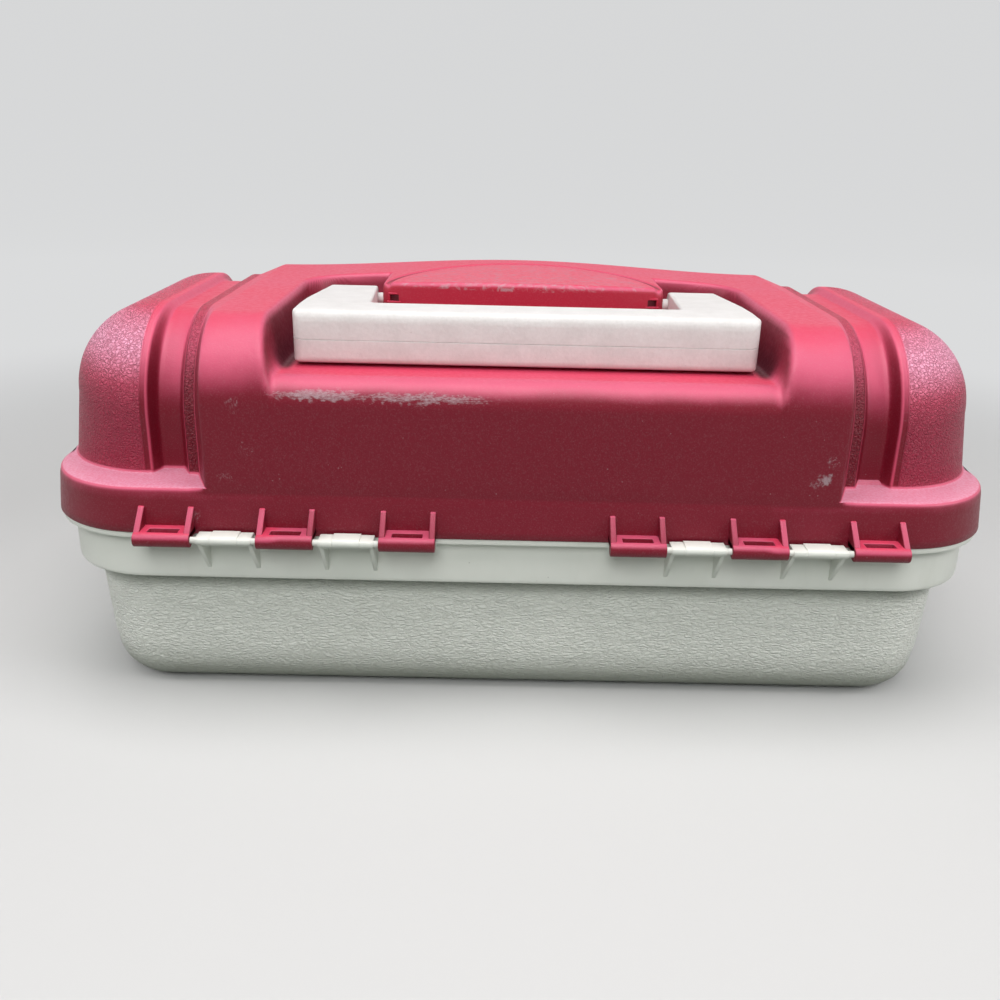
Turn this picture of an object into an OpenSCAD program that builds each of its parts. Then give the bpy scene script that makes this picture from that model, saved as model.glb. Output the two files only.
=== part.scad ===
// Portable tackle box: moulded base, hinged lid with a folding handle, two trays that step back with the lid.
// +Z is up, +Y is the hinge side, the origin is the centre of the underside.

/* [Overall] */
// Outside width of the lid's skirt at its lower edge
box_w = 448; // [420:1:480]
// Outside depth of the lid's skirt at its lower edge
box_d = 231; // [222:1:246]
// Height of the joint between base and lid
rim_z = 91; // [86:1:100]
// Thickness of the moulded walls
wall = 2.5; // [2:0.1:3]

/* [Base] */
// Height of the flat underside of the smooth band above the floor
band_z = 66.5; // [60:0.5:72]
// How far the smooth band stands in from the skirt
band_in = 6.2; // [5:0.1:8]
// How far the grained tub stands in from the band
tub_in = 8.8; // [3:0.1:10]
// Inward lean of the tub's walls down to the rounded bottom edge
tub_draft = 3.2; // [1:0.1:6]
// Radius of the tub's bottom edge
tub_edge_r = 20; // [10:1:24]
// Thickness of the rim lip under the skirt
lip_h = 3; // [2:0.5:4]
// How far the lip's edge stands in from the skirt
lip_in = 1; // [0.5:0.5:2]
// Height of the inner tongue above the joint
tongue_h = 5; // [3:0.5:6]
// Thickness of the inner tongue
tongue_t = 2; // [1.5:0.5:3]
// Gap between the tongue and the foot of the skirt's wall
tongue_gap = 1; // [0.5:0.1:2]
// Thickness of the floor
floor_t = 3; // [2:0.5:4]

/* [Lid] */
// Height of the skirt up to the ledge
skirt_h = 21; // [18:0.5:24]
// How far the skirt leans in at its top
skirt_draft = 2.2; // [0.5:0.1:3]
// Plan corner radius of the skirt
skirt_r = 50; // [46:1:54]
// Height of the top of the end domes
dome_top = 183.5; // [181:0.5:188]
// How far the domes stand back from the skirt, front and rear
dome_step = 22.5; // [19:0.5:25]
// How far the domes stand in from the skirt at the ends
dome_end_in = 3.5; // [2:0.5:5]
// Radius of the domes' corners and of their front and rear shoulders
dome_r = 46.5; // [42:0.5:48]
// Radius of the domes' shoulders at the ends
dome_end_r = 40; // [36:0.5:44]
// Inward lean of the end walls up to that shoulder
dome_end_lean = 4.3; // [2:0.1:6]
// Distance of each dome's inner edge from the skirt's end
dome_w = 53; // [48:1:56]
// Width of the smooth groove beside each dome
groove_w = 13; // [10:1:16]
// How far the groove lies below the dome
groove_deep = 7; // [5:0.5:8]
// How far the groove's top lies below the dome's top
groove_drop = 3.5; // [2:0.5:5]
// How far the narrow band's top lies above the groove's top
strip_lift = 3; // [1:0.5:4]
// Width of the grained narrow band with its slanted side
strip_w = 8.5; // [6:0.5:10]
// How far the narrow band stands out from the groove
strip_step = 8; // [5:0.5:9]
// Slant of the narrow band's outer side wall
step_slant = 4; // [2:0.5:5]
// Slant of the centre panel's side walls
panel_slant = 8; // [5:0.5:10]
// Shoulder radius of the centre panel
panel_r = 36; // [30:1:40]
// How far the centre panel's top stands above the domes at its ends
panel_rise = 1.7; // [1:0.1:6]
// Rise of the arched top from the panel's ends to the middle
crown_rise = 5.4; // [3:0.1:8]

/* [Handle recess] */
// Depth of the recess floor below the domes' tops
recess_drop = 21.5; // [19:0.5:24]
// Half width of the recess at its floor
recess_half = 112; // [110:1:118]
// Widening of the recess from floor to top
recess_draft = 6; // [4:0.5:9]
// Distance from the middle to the recess's front wall at the floor
recess_front = 30; // [26:1:36]
// Plan radius of the recess corners
recess_r = 18; // [12:1:24]
// Radius of the rounded lip at the open rear of the recess
lip_r = 12; // [8:1:14]
// Half width of the boss between the handle's arms
boss_half = 74; // [70:0.5:75]
// Distance from the middle to the rear of the bowed boss
boss_rear = 15; // [12:1:18]
// How much the boss's rear face bows out in plan
boss_bow = 15; // [8:1:18]
// Radius of the ring groove round the plain badge area on the boss
badge_r = 71.5; // [60:0.5:72]
// Distance of the ring's centre behind the middle
badge_y = 9.5; // [5:0.5:12]
// Width of the ring groove
badge_w = 2.5; // [1.5:0.1:3]
// Depth of the ring groove
badge_deep = 0.8; // [0.4:0.1:1]

/* [Handle] */
// Half width of the handle across its grip
handle_half = 105.5; // [100:0.5:107]
// Depth of the grip, front to back
grip_d = 25; // [20:1:28]
// Height of the grip
grip_h = 24; // [18:1:26]
// Distance from the middle to the grip's rear face
grip_rear = 85; // [80:1:90]
// Rounding of the grip's edges
grip_r = 6; // [3:0.5:8]
// Gap between the grip and the recess floor
grip_lift = 1.5; // [1:0.5:3]
// Half width of the handle at its pivot end
arm_half = 101.5; // [98:0.5:104]
// Distance from the middle to each arm's inner face at the pivot
arm_inner = 77.5; // [76.5:0.5:80]
// Half thickness of the arms at the pivot
arm_r = 6.5; // [5:0.5:7]
// Distance of the handle's pivot in front of the middle
pivot_front = 5; // [3:0.5:8]
// Height of the handle's pivot above the recess floor
pivot_up = 16.5; // [15:0.5:18]
// Radius of the handle's moulded pivot stubs
handle_pin_r = 3; // [2:0.1:3.5]
// Length of each pivot stub from the arm
handle_pin_l = 11; // [8:0.5:14]
// Rounding of the handle's outer corners in plan
handle_corner = 7; // [4:0.5:10]
// How far the arms close in towards the grip
arm_close = 4.5; // [2:0.5:6]
// Height of the slots through which the pivot stubs snap in
snap_slot_h = 2.6; // [2:0.1:3]
// Width of those slots
snap_slot_w = 8; // [5:0.5:9]
// Distance of those slots from the boss's side
snap_slot_in = 2; // [1.5:0.1:3]

/* [Hinge] */
// Distance of the hinge axis behind the skirt's lower edge
hinge_out = 8; // [7:0.5:10]
// Height of the hinge axis above the joint
hinge_up = 0.5; // [0:0.5:2]
// Radius of the lid's knuckles
knuckle_r = 3.4; // [3:0.1:4]
// Radius of the base's knuckles
base_knuckle_r = 2; // [1.9:0.1:3]
// Thickness of the plates that carry the lid's knuckles
knuckle_plate = 3; // [2:0.1:4]
// Gap between the base knuckles' pads and the skirt
pad_gap = 1.2; // [1:0.1:2]
// Radius of the moulded hinge pins
hinge_pin_r = 1.5; // [1.2:0.1:1.8]
// Width of each lid knuckle
lid_knuckle_w = 25; // [20:1:26]
// Gap between neighbouring knuckles
knuckle_gap = 2.3; // [1.5:0.1:4]
// Distance from the middle to the innermost lid knuckle's centre
knuckle_first = 51.3; // [48:0.1:56]
// Gap between the outermost lid knuckle and the skirt's corner
knuckle_end = 2; // [0:0.1:4]
// Length of each hinge pin inside its lid knuckle
hinge_pin_in = 5; // [3:0.5:5.5]
// Thickness of the ribs at the ends of each lid knuckle
knuckle_rib = 2.8; // [2:0.1:3.5]
// Height of those ribs above the hinge axis
knuckle_rib_h = 12; // [8:1:16]
// Length of the window in each lid knuckle
window_w = 13.6; // [10:0.1:14]
// Depth of that window, front to back
window_d = 5; // [3:0.5:6]
// Drop of the gussets below each base knuckle
gusset_h = 16; // [12:1:19]
// Thickness of the gussets
gusset_t = 2; // [1.5:0.1:3]

/* [Latches] */
// Distance from the middle to each latch
latch_x = 105; // [80:1:130]
// Width of each latch
latch_w = 36; // [28:1:44]
// Height of the latch pin above the joint
latch_pin_up = 12; // [10:0.5:14]
// Radius of the latch pins
latch_pin_r = 1.5; // [1:0.1:2]
// Radius of the latch barrel
latch_barrel_r = 3.6; // [3:0.1:4]
// Thickness of the latch plate
latch_t = 2.4; // [2:0.1:3]
// Length of the latch below its pin
latch_l = 31; // [26:1:36]
// How far the hook reaches in under the lip when it is snapped shut
hook_bite = 1.5; // [1:0.1:2]
// Height of the hook's root
hook_h = 3; // [2:0.5:4]
// Angle at which the unsnapped latch stands off
latch_rest = 9; // [8:0.5:12]
// Gap between the skirt and the latch barrel
latch_gap = 0.6; // [0.4:0.1:1]
// Thickness of the ears that hold each latch pin
ear_t = 3; // [2:0.5:4]

/* [Trays] */
// Distance of both trays' ends from the skirt's ends
tray_end_in = 31.5; // [30:0.5:44]
// Gap between the upper tray and the underside of the handle recess
tray_room = 4; // [3:0.5:8]
// Gap between the trays
tray_gap = 1.5; // [1:0.1:3]
// Gap between the base's tongue and the lower tray
tray_lift = 2; // [1:0.5:3]
// Wall of the trays
tray_wall = 2; // [1.6:0.1:2.4]
// Plan corner radius of the trays
tray_r = 4; // [3.5:0.5:6]
// Inward lean of the trays' walls down to the bottom
tray_draft = 1; // [0.5:0.1:1.5]
// How far the partitions and dividers stay below the trays' edges
divider_drop = 4; // [2:0.5:6]
// Distance of the lower tray's front edge from the skirt
lower_front_in = 35.5; // [34.5:0.5:43]
// Distance of the lower tray's rear edge from the skirt
lower_rear_in = 41; // [40.5:0.5:47]
// Distance of the upper tray's front edge from the skirt
upper_front_in = 39.5; // [39:0.5:47]
// Distance of the upper tray's rear edge from the skirt
upper_rear_in = 75.5; // [75.5:0.5:81]
// Thickness of the partitions and dividers
divider_t = 1.6; // [1.2:0.1:2]
// Clearance of a divider between its ribs
divider_gap = 0.2; // [0.1:0.05:0.4]
// Width and depth of the ribs that hold the dividers
slot_rib = 1.5; // [1:0.1:2]
// Part of the lower tray's depth in front of its partition
lower_split = 0.5; // [0.3:0.01:0.7]
// Part of the upper tray's depth in front of its partition
upper_split = 0.58; // [0.3:0.01:0.7]

/* [Tray arms] */
// Height of the rear tray pins above each tray's underside
pin_lift = 12; // [11:0.5:13]
// Distance of the lower tray's rear pins in front of the hinge
lower_pin_reach = 55.5; // [54:0.5:60]
// Further reach of the upper tray's rear pins
pin_step = 38; // [37:0.5:42]
// Distance of the arm pivot in front of the skirt's rear
arm_pivot_in = 85.5; // [80:0.5:89]
// Drop of the arm pivot below the hinge axis
arm_pivot_drop = 7; // [5:0.5:8]
// Thickness of arms and brackets
arm_t = 2; // [1.5:0.1:2.5]
// Gap between the trays' ends and the arms
arm_gap = 1; // [0.6:0.1:1.2]
// Width of the round eyes of arms and brackets
arm_w = 14; // [11:0.5:16]
// How much narrower the bars between the eyes are
arm_waist = 3; // [1:0.5:5]
// Radius of the rivets' shanks
rivet_r = 1.8; // [1.5:0.1:2.5]
// Radius of the rivets' heads
rivet_head_r = 2.8; // [2.4:0.1:3]
// Thickness of the rivets' heads
rivet_head_t = 1.2; // [0.8:0.1:1.6]
// Drop of the brackets' upper posts below the domes' tops
post_drop = 23; // [22:0.5:26]
// Further drop of the brackets' rear posts
post_step = 14.5; // [12:0.5:18]
// Distance of the upper posts behind the upper tray's rear pins
post_out = 17; // [12:0.5:20]
// Distance of the rear posts behind the lower tray's rear pins
rear_post_out = 2; // [0:0.5:4]
// Radius of the moulded posts that carry arms and brackets
post_r = 5.5; // [4.5:0.1:6]
// Length of the rivets inside those posts
post_rivet_l = 7; // [5:0.5:9]

/* [Hidden] */
$fn = 72;

// Radial clearance of every pin that turns
run_fit = 0.05;
// Gap between faces that only seat on each other
seat = 0.3;
// Overshoot of a cutting shape
over = 1;

lid_red = [0.72, 0.12, 0.26];
base_grey = [0.86, 0.87, 0.84];
handle_white = [0.93, 0.91, 0.89];
tray_grey = [0.80, 0.81, 0.80];
steel = [0.70, 0.71, 0.73];

half_w = box_w / 2;
half_d = box_d / 2;
ledge_z = rim_z + skirt_h;
dome_x = half_w - dome_w;
panel_top = dome_top + panel_rise;
crown_z = panel_top + crown_rise;

// Half sizes of the lid's bodies
dome_half_x = half_w - dome_end_in;
dome_half_y = half_d - dome_step;
groove_half_y = dome_half_y - groove_deep;
groove_top = dome_top - groove_drop;
strip_half_y = groove_half_y + strip_step;
strip_top = groove_top + strip_lift;
strip_x = dome_x - groove_w;
panel_half_y = half_d - skirt_draft;
panel_x = strip_x - strip_w;
panel_face_x = panel_x - panel_slant;
crown_r = (panel_face_x * panel_face_x + crown_rise * crown_rise) / (2 * crown_rise);
crown_angle = 2 * asin((panel_x + over) / crown_r);

// Hinge axis and knuckles
hinge_y = half_d + hinge_out;
hinge_z = rim_z + hinge_up;
knuckle_pitch = (half_w - skirt_r - knuckle_end - lid_knuckle_w / 2 - knuckle_first) / 2;
base_knuckle_w = knuckle_pitch - lid_knuckle_w - 2 * knuckle_gap;
base_knuckle_x = [knuckle_first + knuckle_pitch / 2, knuckle_first + knuckle_pitch * 3 / 2];

// Recess floor and handle pivot
recess_z = dome_top - recess_drop;
pivot_y = -pivot_front;
pivot_z = recess_z + pivot_up;
grip_top = recess_z + grip_lift + grip_h;

// Base steps
band_half_x = half_w - band_in;
band_half_y = half_d - band_in;
band_r = skirt_r - band_in;
tub_half_x = band_half_x - tub_in;
tub_half_y = band_half_y - tub_in;
tub_r = band_r - tub_in;

// Tray stack and link points, all as [y, z]
tray_half = half_w - tray_end_in;
tray_low = rim_z + tongue_h + tray_lift;
tray_h = (recess_z - wall - tray_room - tray_gap - tray_low) / 2;
tray_z = [tray_low, tray_low + tray_h + tray_gap];
hinge_p = [hinge_y, hinge_z];
arm_p = [half_d - arm_pivot_in, hinge_z - arm_pivot_drop];
rear_pin = [[hinge_y - lower_pin_reach, tray_z[0] + pin_lift],
    [hinge_y - lower_pin_reach - pin_step, tray_z[1] + pin_lift]];
front_pin = [rear_pin[0] + arm_p - hinge_p, rear_pin[1] + arm_p - hinge_p];
arm_x = tray_half + arm_gap;
post_x = arm_x + arm_t + seat;
bracket_post = [[rear_pin[0][0] + rear_post_out, dome_top - post_drop - post_step],
    [rear_pin[1][0] + post_out, dome_top - post_drop]];

// Latch pin
latch_y = -half_d - latch_barrel_r - latch_gap;
latch_z = rim_z + latch_pin_up;
hook_top = rim_z - lip_h - seat;

// Clear of a tray's leaning wall, in from its outside
wall_inset = tray_wall + tray_draft;

// The tongue's outer face, in from the skirt
tongue_in = wall + skirt_draft + tongue_gap;

// ---------------------------------------------------------------- shared shapes

// Profile of a drafted wall: from the corner centre out to the wall, from z0 up to z1
module wall_profile(r_low, r_high, z0, z1)
    polygon([[0, z0], [r_low, z0], [r_high, z1], [0, z1]]);

// Profile of a wall whose top turns over in a shoulder of radius r
module shoulder_profile(out, z0, z1, r)
    intersection() {
        translate([0, z0]) square([out, z1 - z0]);
        union() {
            square([out, z1 - r]);
            square([out - r + 0.001, z1]);
            translate([out - r, z1 - r]) circle(r);
        }
    }

// Carries a wall profile round a rounded rectangle; core is the profile's range of heights
module ring_form(half_x, half_y, r, core) {
    flat_x = half_x - r;
    flat_y = half_y - r;
    rotate([90, 0, 90]) linear_extrude(2 * flat_x, center = true) section(flat_y, core) children();
    rotate([90, 0, 0]) linear_extrude(2 * flat_y, center = true) section(flat_x, core) children();
    for (sx = [0, 1], sy = [0, 1])
        mirror([sx, 0, 0]) mirror([0, sy, 0])
            translate([flat_x, flat_y, 0]) rotate_extrude(angle = 90) children();
}

// Full cross-section: the wall profile on both sides of a flat core
module section(flat, core) {
    for (s = [0, 1]) mirror([s, 0]) translate([flat, 0]) children();
    translate([-flat, core[0]]) square([2 * flat, core[1] - core[0]]);
}

// Flat shape with both top corners rounded
module rounded_top(half, z0, z1, r) intersection() {
    translate([-half, z0]) square([2 * half, z1 - z0]);
    union() {
        translate([-half, z0]) square([2 * half, z1 - r - z0]);
        translate([r - half, z0]) square([2 * (half - r), z1 - z0]);
        for (s = [-1, 1]) translate([s * (half - r), z1 - r]) circle(r);
    }
}

// Flat bar of width w between two points
module bar(p, q, w) {
    run = q - p;
    translate(p) rotate(atan2(run[1], run[0])) translate([0, -w / 2]) square([norm(run), w]);
}

// Cylinder along X from x0 to x1 about a [y, z] point
module rod(p, x0, x1, r) translate([x0, p[0], p[1]]) rotate([0, 90, 0]) cylinder(r = r, h = x1 - x0);

// Draws a [y, z] outline as a plate from x0 to x1
module plate(x0, x1) translate([x0, 0, 0]) rotate([90, 0, 90]) linear_extrude(x1 - x0) children();

// ---------------------------------------------------------------- base

// Profile of the tub's wall: a rounded bottom edge that goes over into the leaning wall
module tub_outline(out, z0, z1, edge_r) {
    foot = out - tub_draft;
    polygon([[0, z0], [foot - edge_r, z0], [foot - edge_r, z0 + edge_r], [foot, z0 + edge_r], [out, z1], [0, z1]]);
    intersection() {
        translate([foot - edge_r, z0 + edge_r]) circle(edge_r);
        translate([foot - edge_r, z0]) square(edge_r);
    }
}

// Gusset that carries a base knuckle on the band
module base_gusset()
    polygon([[band_half_y - over, rim_z - lip_h - gusset_h], [band_half_y, rim_z - lip_h - gusset_h],
        [hinge_y, hinge_z - base_knuckle_r], [hinge_y - base_knuckle_r, hinge_z],
        [band_half_y - over, rim_z - lip_h]]);

module base_knuckle(x) {
    half = base_knuckle_w / 2;
    pad_y = half_d + pad_gap;
    pad_z = hinge_z - base_knuckle_r;
    slab_y = band_half_y - over;
    reach = hinge_pin_in + (knuckle_pitch - lid_knuckle_w - base_knuckle_w) / 2;
    rod(hinge_p, x - half, x + half, base_knuckle_r);
    rod(hinge_p, x - half - reach, x + half + reach, hinge_pin_r);
    // Pad with a raised middle
    translate([x - half, pad_y, pad_z]) cube([2 * half, hinge_y - pad_y, base_knuckle_r + hinge_pin_r]);
    translate([x - half / 2, pad_y, pad_z]) cube([half, hinge_y - pad_y, 2 * base_knuckle_r]);
    // Slab under the skirt
    translate([x - half, slab_y, rim_z - lip_h])
        cube([2 * half, hinge_y - base_knuckle_r - slab_y, lip_h - seat]);
    for (s = [x - half, x + half - gusset_t]) plate(s, s + gusset_t) base_gusset();
}

// Upright wall band round the box: i in from the skirt, from z0 to z1
module wall_band(i, z0, z1)
    ring_form(half_w - i, half_d - i, skirt_r - i, [z0, z1]) wall_profile(skirt_r - i, skirt_r - i, z0, z1);

module base_tub() color(base_grey) {
    tub_top = band_z + wall + over;
    difference() {
        union() {
            ring_form(tub_half_x, tub_half_y, tub_r, [0, band_z + over])
                tub_outline(tub_r, 0, band_z + over, tub_edge_r);
            wall_band(band_in, band_z, rim_z);
            wall_band(lip_in, rim_z - lip_h, rim_z);
            wall_band(tongue_in, rim_z - over, rim_z + tongue_h);
        }
        ring_form(tub_half_x - wall, tub_half_y - wall, tub_r - wall, [floor_t, tub_top])
            tub_outline(tub_r - wall, floor_t, tub_top, tub_edge_r - wall);
        wall_band(band_in + wall, band_z + wall, rim_z);
        wall_band(tongue_in + tongue_t, rim_z - over / 2, rim_z + tongue_h + over);
    }
    for (s = [0, 1], x = base_knuckle_x) mirror([s, 0, 0]) base_knuckle(x);
    // Posts that carry the tray arms
    for (s = [0, 1]) mirror([s, 0, 0]) difference() {
        rod(arm_p, post_x, band_half_x - wall / 2, post_r);
        rod(arm_p, post_x - over, post_x + post_rivet_l + over, rivet_r + run_fit);
    }
}

// ---------------------------------------------------------------- lid

// Draws an [x, z] outline right through the box from front to rear
module through() rotate([90, 0, 0]) linear_extrude(2 * box_d, center = true) children();

// Outline of both domes' ends: leaning walls that turn over in a shoulder
module dome_ends(i) {
    foot_x = dome_half_x - i;
    lean_x = foot_x - dome_end_lean;
    centre = [dome_half_x - dome_end_lean - dome_end_r, dome_top - dome_end_r];
    for (s = [0, 1]) mirror([s, 0]) {
        polygon([[dome_x + i, ledge_z - wall - over], [foot_x, ledge_z - wall - over], [lean_x, centre[1]],
            [centre[0], dome_top - i], [dome_x + i, dome_top - i]]);
        intersection() {
            translate(centre) circle(dome_end_r - i);
            translate([dome_x + i, 0]) square(2 * dome_top);
        }
    }
}

module dome_form(i) intersection() {
    ring_form(dome_half_x - i, dome_half_y - i, dome_r - i, [ledge_z - over, dome_top - i])
        shoulder_profile(dome_r - i, ledge_z - wall - over, dome_top - i, dome_r - i);
    through() dome_ends(i);
}

module groove_form(i)
    rotate([90, 0, 90]) linear_extrude(2 * (dome_x + i + over / 2), center = true)
        rounded_top(groove_half_y - i, ledge_z - wall - over, groove_top - i, dome_r - i);

// Plan of a step that stands out of the groove: widest at its foot, slanted to its face
module step_plan(foot_x, face_x, foot_y, face_y)
    polygon([[face_x, face_y], [foot_x, foot_y], [foot_x, -foot_y], [face_x, -face_y],
        [-face_x, -face_y], [-foot_x, -foot_y], [-foot_x, foot_y], [-face_x, face_y]]);

// Outline of a step seen from the rear: its sides close in over the shoulder
module closing_sides(foot_x, top_x)
    polygon([[-foot_x, 0], [foot_x, 0], [foot_x, dome_top - dome_r], [top_x, panel_top], [top_x, 2 * crown_z],
        [-top_x, 2 * crown_z], [-top_x, panel_top], [-foot_x, dome_top - dome_r]]);

module strip_form(i) intersection() {
    rotate([90, 0, 90]) linear_extrude(2 * strip_x, center = true)
        rounded_top(strip_half_y - i, ledge_z - wall - over, strip_top - i, dome_r - i);
    linear_extrude(2 * crown_z)
        step_plan(strip_x - i, strip_x - step_slant - i, groove_half_y, strip_half_y + over);
    through() closing_sides(strip_x - i, strip_x - step_slant / 2 - i);
}

// Centre panel, revolved about a far axis along Y so that its top arches over
module panel_form(i) intersection() {
    translate([0, 0, crown_z - crown_r]) rotate([-90, 0, 0]) rotate([0, 0, -90 - crown_angle / 2])
        rotate_extrude(angle = crown_angle, $fn = 720) rotate(-90)
            rounded_top(panel_half_y - i, crown_r - crown_z + rim_z, crown_r - i, panel_r - i);
    linear_extrude(2 * crown_z)
        step_plan(panel_x - i, panel_face_x - i, strip_half_y, panel_half_y + 0.001);
    through() closing_sides(panel_x - i, panel_face_x - i);
}

module skirt_form(i, z0)
    ring_form(half_w - i, half_d - i, skirt_r - i, [z0, ledge_z - i])
        polygon([[0, z0], [skirt_r - i, z0], [skirt_r - i, rim_z], [skirt_r - skirt_draft - i, ledge_z - i],
            [0, ledge_z - i]]);

module lid_form(i, z0) {
    skirt_form(i, z0);
    dome_form(i);
    groove_form(i);
    strip_form(i);
    intersection() {
        panel_form(i);
        translate([-box_w, -box_d, rim_z + over]) cube([2 * box_w, 2 * box_d, crown_z]);
    }
}

// Outline of the boss between the handle's arms, shrunk by i
module boss_plan(i) {
    bow_r = (boss_half * boss_half + boss_bow * boss_bow) / (2 * boss_bow);
    intersection() {
        translate([i - boss_half, -box_d]) square([2 * (boss_half - i), 2 * box_d]);
        translate([0, boss_rear - bow_r]) circle(bow_r - i, $fn = 360);
        translate([-box_w, -recess_front - 4 * recess_r]) square([2 * box_w, box_d]);
    }
}

// The handle recess, grown by i for the wall below and beside it
module recess_cut(i) {
    far = 2 * half_d;
    mid_y = (far - recess_front) / 2;
    z0 = recess_z - i;
    z1 = crown_z + over;
    r0 = recess_r + i;
    r1 = r0 + recess_draft * (z1 - z0) / (crown_z - recess_z);
    difference() {
        translate([0, mid_y, 0])
            ring_form(recess_half + i, mid_y + recess_front + i, r0, [z0, z1])
                wall_profile(r0, r1, z0, z1);
        translate([0, 0, z0 - over]) linear_extrude(2 * crown_z) boss_plan(i);
    }
    lip_y = panel_half_y - lip_r;
    rotate([90, 0, 90]) linear_extrude(2 * (recess_half + i), center = true)
        translate([lip_y, z0 - lip_r]) difference() {
            square([2 * lip_r, lip_r + over]);
            circle(lip_r);
        }
}

module lid_knuckle(x) {
    half = lid_knuckle_w / 2;
    root_y = half_d - skirt_draft - over;
    plate_z = hinge_z + knuckle_r - knuckle_plate;
    difference() {
        union() {
            rod(hinge_p, x - half, x + half, knuckle_r);
            translate([x - half, root_y, plate_z]) cube([2 * half, hinge_y - root_y, knuckle_plate]);
            for (s = [x - half, x + half - knuckle_rib]) plate(s, s + knuckle_rib)
                polygon([[root_y, plate_z], [hinge_y, plate_z], [hinge_y, hinge_z + knuckle_r],
                    [half_d, hinge_z + knuckle_rib_h], [root_y, hinge_z + knuckle_rib_h]]);
        }
        translate([x, 0, 0]) for (s = [0, 1]) mirror([s, 0, 0])
            rod(hinge_p, half - hinge_pin_in - seat, half + over, hinge_pin_r + run_fit);
        translate([x - window_w / 2, hinge_y - window_d, hinge_z - over])
            cube([window_w, window_d, knuckle_r + 2 * over]);
    }
}

// Ears on the skirt for one latch pin
module latch_ears(x)
    for (s = [-1, 1]) difference() {
        ear_x = x + s * (latch_w / 2 + ear_t / 2 + seat);
        plate(ear_x - ear_t / 2, ear_x + ear_t / 2) {
            translate([latch_y, latch_z]) circle(latch_barrel_r);
            translate([latch_y, latch_z - latch_barrel_r])
                square([skirt_draft + over - half_d - latch_y, 2 * latch_barrel_r]);
        }
        rod([latch_y, latch_z], ear_x - ear_t, ear_x + ear_t, latch_pin_r + run_fit);
    }

// Solid corner of the boss round one pivot stub
module pivot_corner() intersection() {
    translate([boss_half - handle_pin_l - wall, pivot_y - 2 * handle_pin_r - wall, recess_z - wall])
        cube([handle_pin_l + wall, box_d, pivot_up + 2 * wall + handle_pin_r]);
    translate([0, 0, recess_z - wall]) linear_extrude(crown_z) boss_plan(0);
}

// Ring groove round the plain badge area, following the arched top
module badge_groove() difference() {
    translate([0, badge_y, 0]) linear_extrude(2 * crown_z) difference() {
        circle(badge_r + badge_w / 2, $fn = 360);
        circle(badge_r - badge_w / 2, $fn = 360);
    }
    panel_form(badge_deep);
}

module lid_shell() color(lid_red) {
    difference() {
        union() {
            difference() {
                lid_form(0, rim_z);
                difference() {
                    lid_form(wall, rim_z - over);
                    recess_cut(wall);
                }
            }
            for (s = [0, 1]) mirror([s, 0, 0]) pivot_corner();
            // Posts inside the end walls that carry the tray brackets
            for (s = [0, 1], p = bracket_post) mirror([s, 0, 0]) intersection() {
                rod(p, post_x, half_w, post_r);
                lid_form(wall / 2, rim_z);
            }
        }
        recess_cut(0);
        intersection() {
            badge_groove();
            translate([-panel_face_x, -half_d, recess_z]) cube([2 * panel_face_x, box_d, crown_z]);
        }
        for (s = [0, 1]) mirror([s, 0, 0]) {
            rod([pivot_y, pivot_z], arm_inner - handle_pin_l - seat, boss_half + over, handle_pin_r + run_fit);
            translate([boss_half - snap_slot_in - snap_slot_w, pivot_y, pivot_z - snap_slot_h / 2])
                cube([snap_slot_w, box_d, snap_slot_h]);
            for (p = bracket_post) rod(p, post_x - over, post_x + post_rivet_l + over, rivet_r + run_fit);
        }
    }
    for (s = [0, 1], k = [0, 1, 2]) mirror([s, 0, 0]) lid_knuckle(knuckle_first + k * knuckle_pitch);
    for (s = [-1, 1]) latch_ears(s * latch_x);
}

// ---------------------------------------------------------------- handle

// One side of the handle's plan, to be mirrored: outline less the finger gap
module handle_plan() {
    foot_y = pivot_y - arm_r - over;
    grip_in = grip_rear - grip_d;
    grip_half = arm_inner - arm_close;
    for (s = [0, 1]) mirror([s, 0]) difference() {
        polygon([[-over, foot_y], [arm_half, foot_y], [handle_half, grip_in - 2 * handle_corner],
            [handle_half, grip_rear - handle_corner], [handle_half - handle_corner, grip_rear],
            [-over, grip_rear]]);
        polygon([[-2 * over, foot_y - over], [arm_inner, foot_y - over], [grip_half, grip_in - wall],
            [grip_half - wall, grip_in], [-2 * over, grip_in]]);
    }
}

module handle_side() {
    grip_in = grip_rear - grip_d;
    grip_z = grip_top - grip_h;
    translate([pivot_y, pivot_z]) circle(arm_r);
    polygon([[pivot_y, pivot_z - arm_r], [grip_in + grip_r, grip_z + wall], [grip_in + grip_r, grip_top],
        [pivot_y, pivot_z + arm_r]]);
    translate([grip_in + grip_r, grip_z]) square([grip_d - 2 * grip_r, grip_h]);
    translate([grip_in, grip_z + grip_r]) square([grip_d, grip_h - 2 * grip_r]);
    for (y = [grip_in + grip_r, grip_rear - grip_r], z = [grip_z + grip_r, grip_top - grip_r])
        translate([y, z]) circle(grip_r);
}

module handle() color(handle_white) {
    intersection() {
        linear_extrude(2 * crown_z) handle_plan();
        plate(-half_w, half_w) handle_side();
    }
    for (s = [0, 1]) mirror([s, 0, 0])
        rod([pivot_y, pivot_z], arm_inner - handle_pin_l, arm_inner + over, handle_pin_r);
}

// ---------------------------------------------------------------- latches

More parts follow.
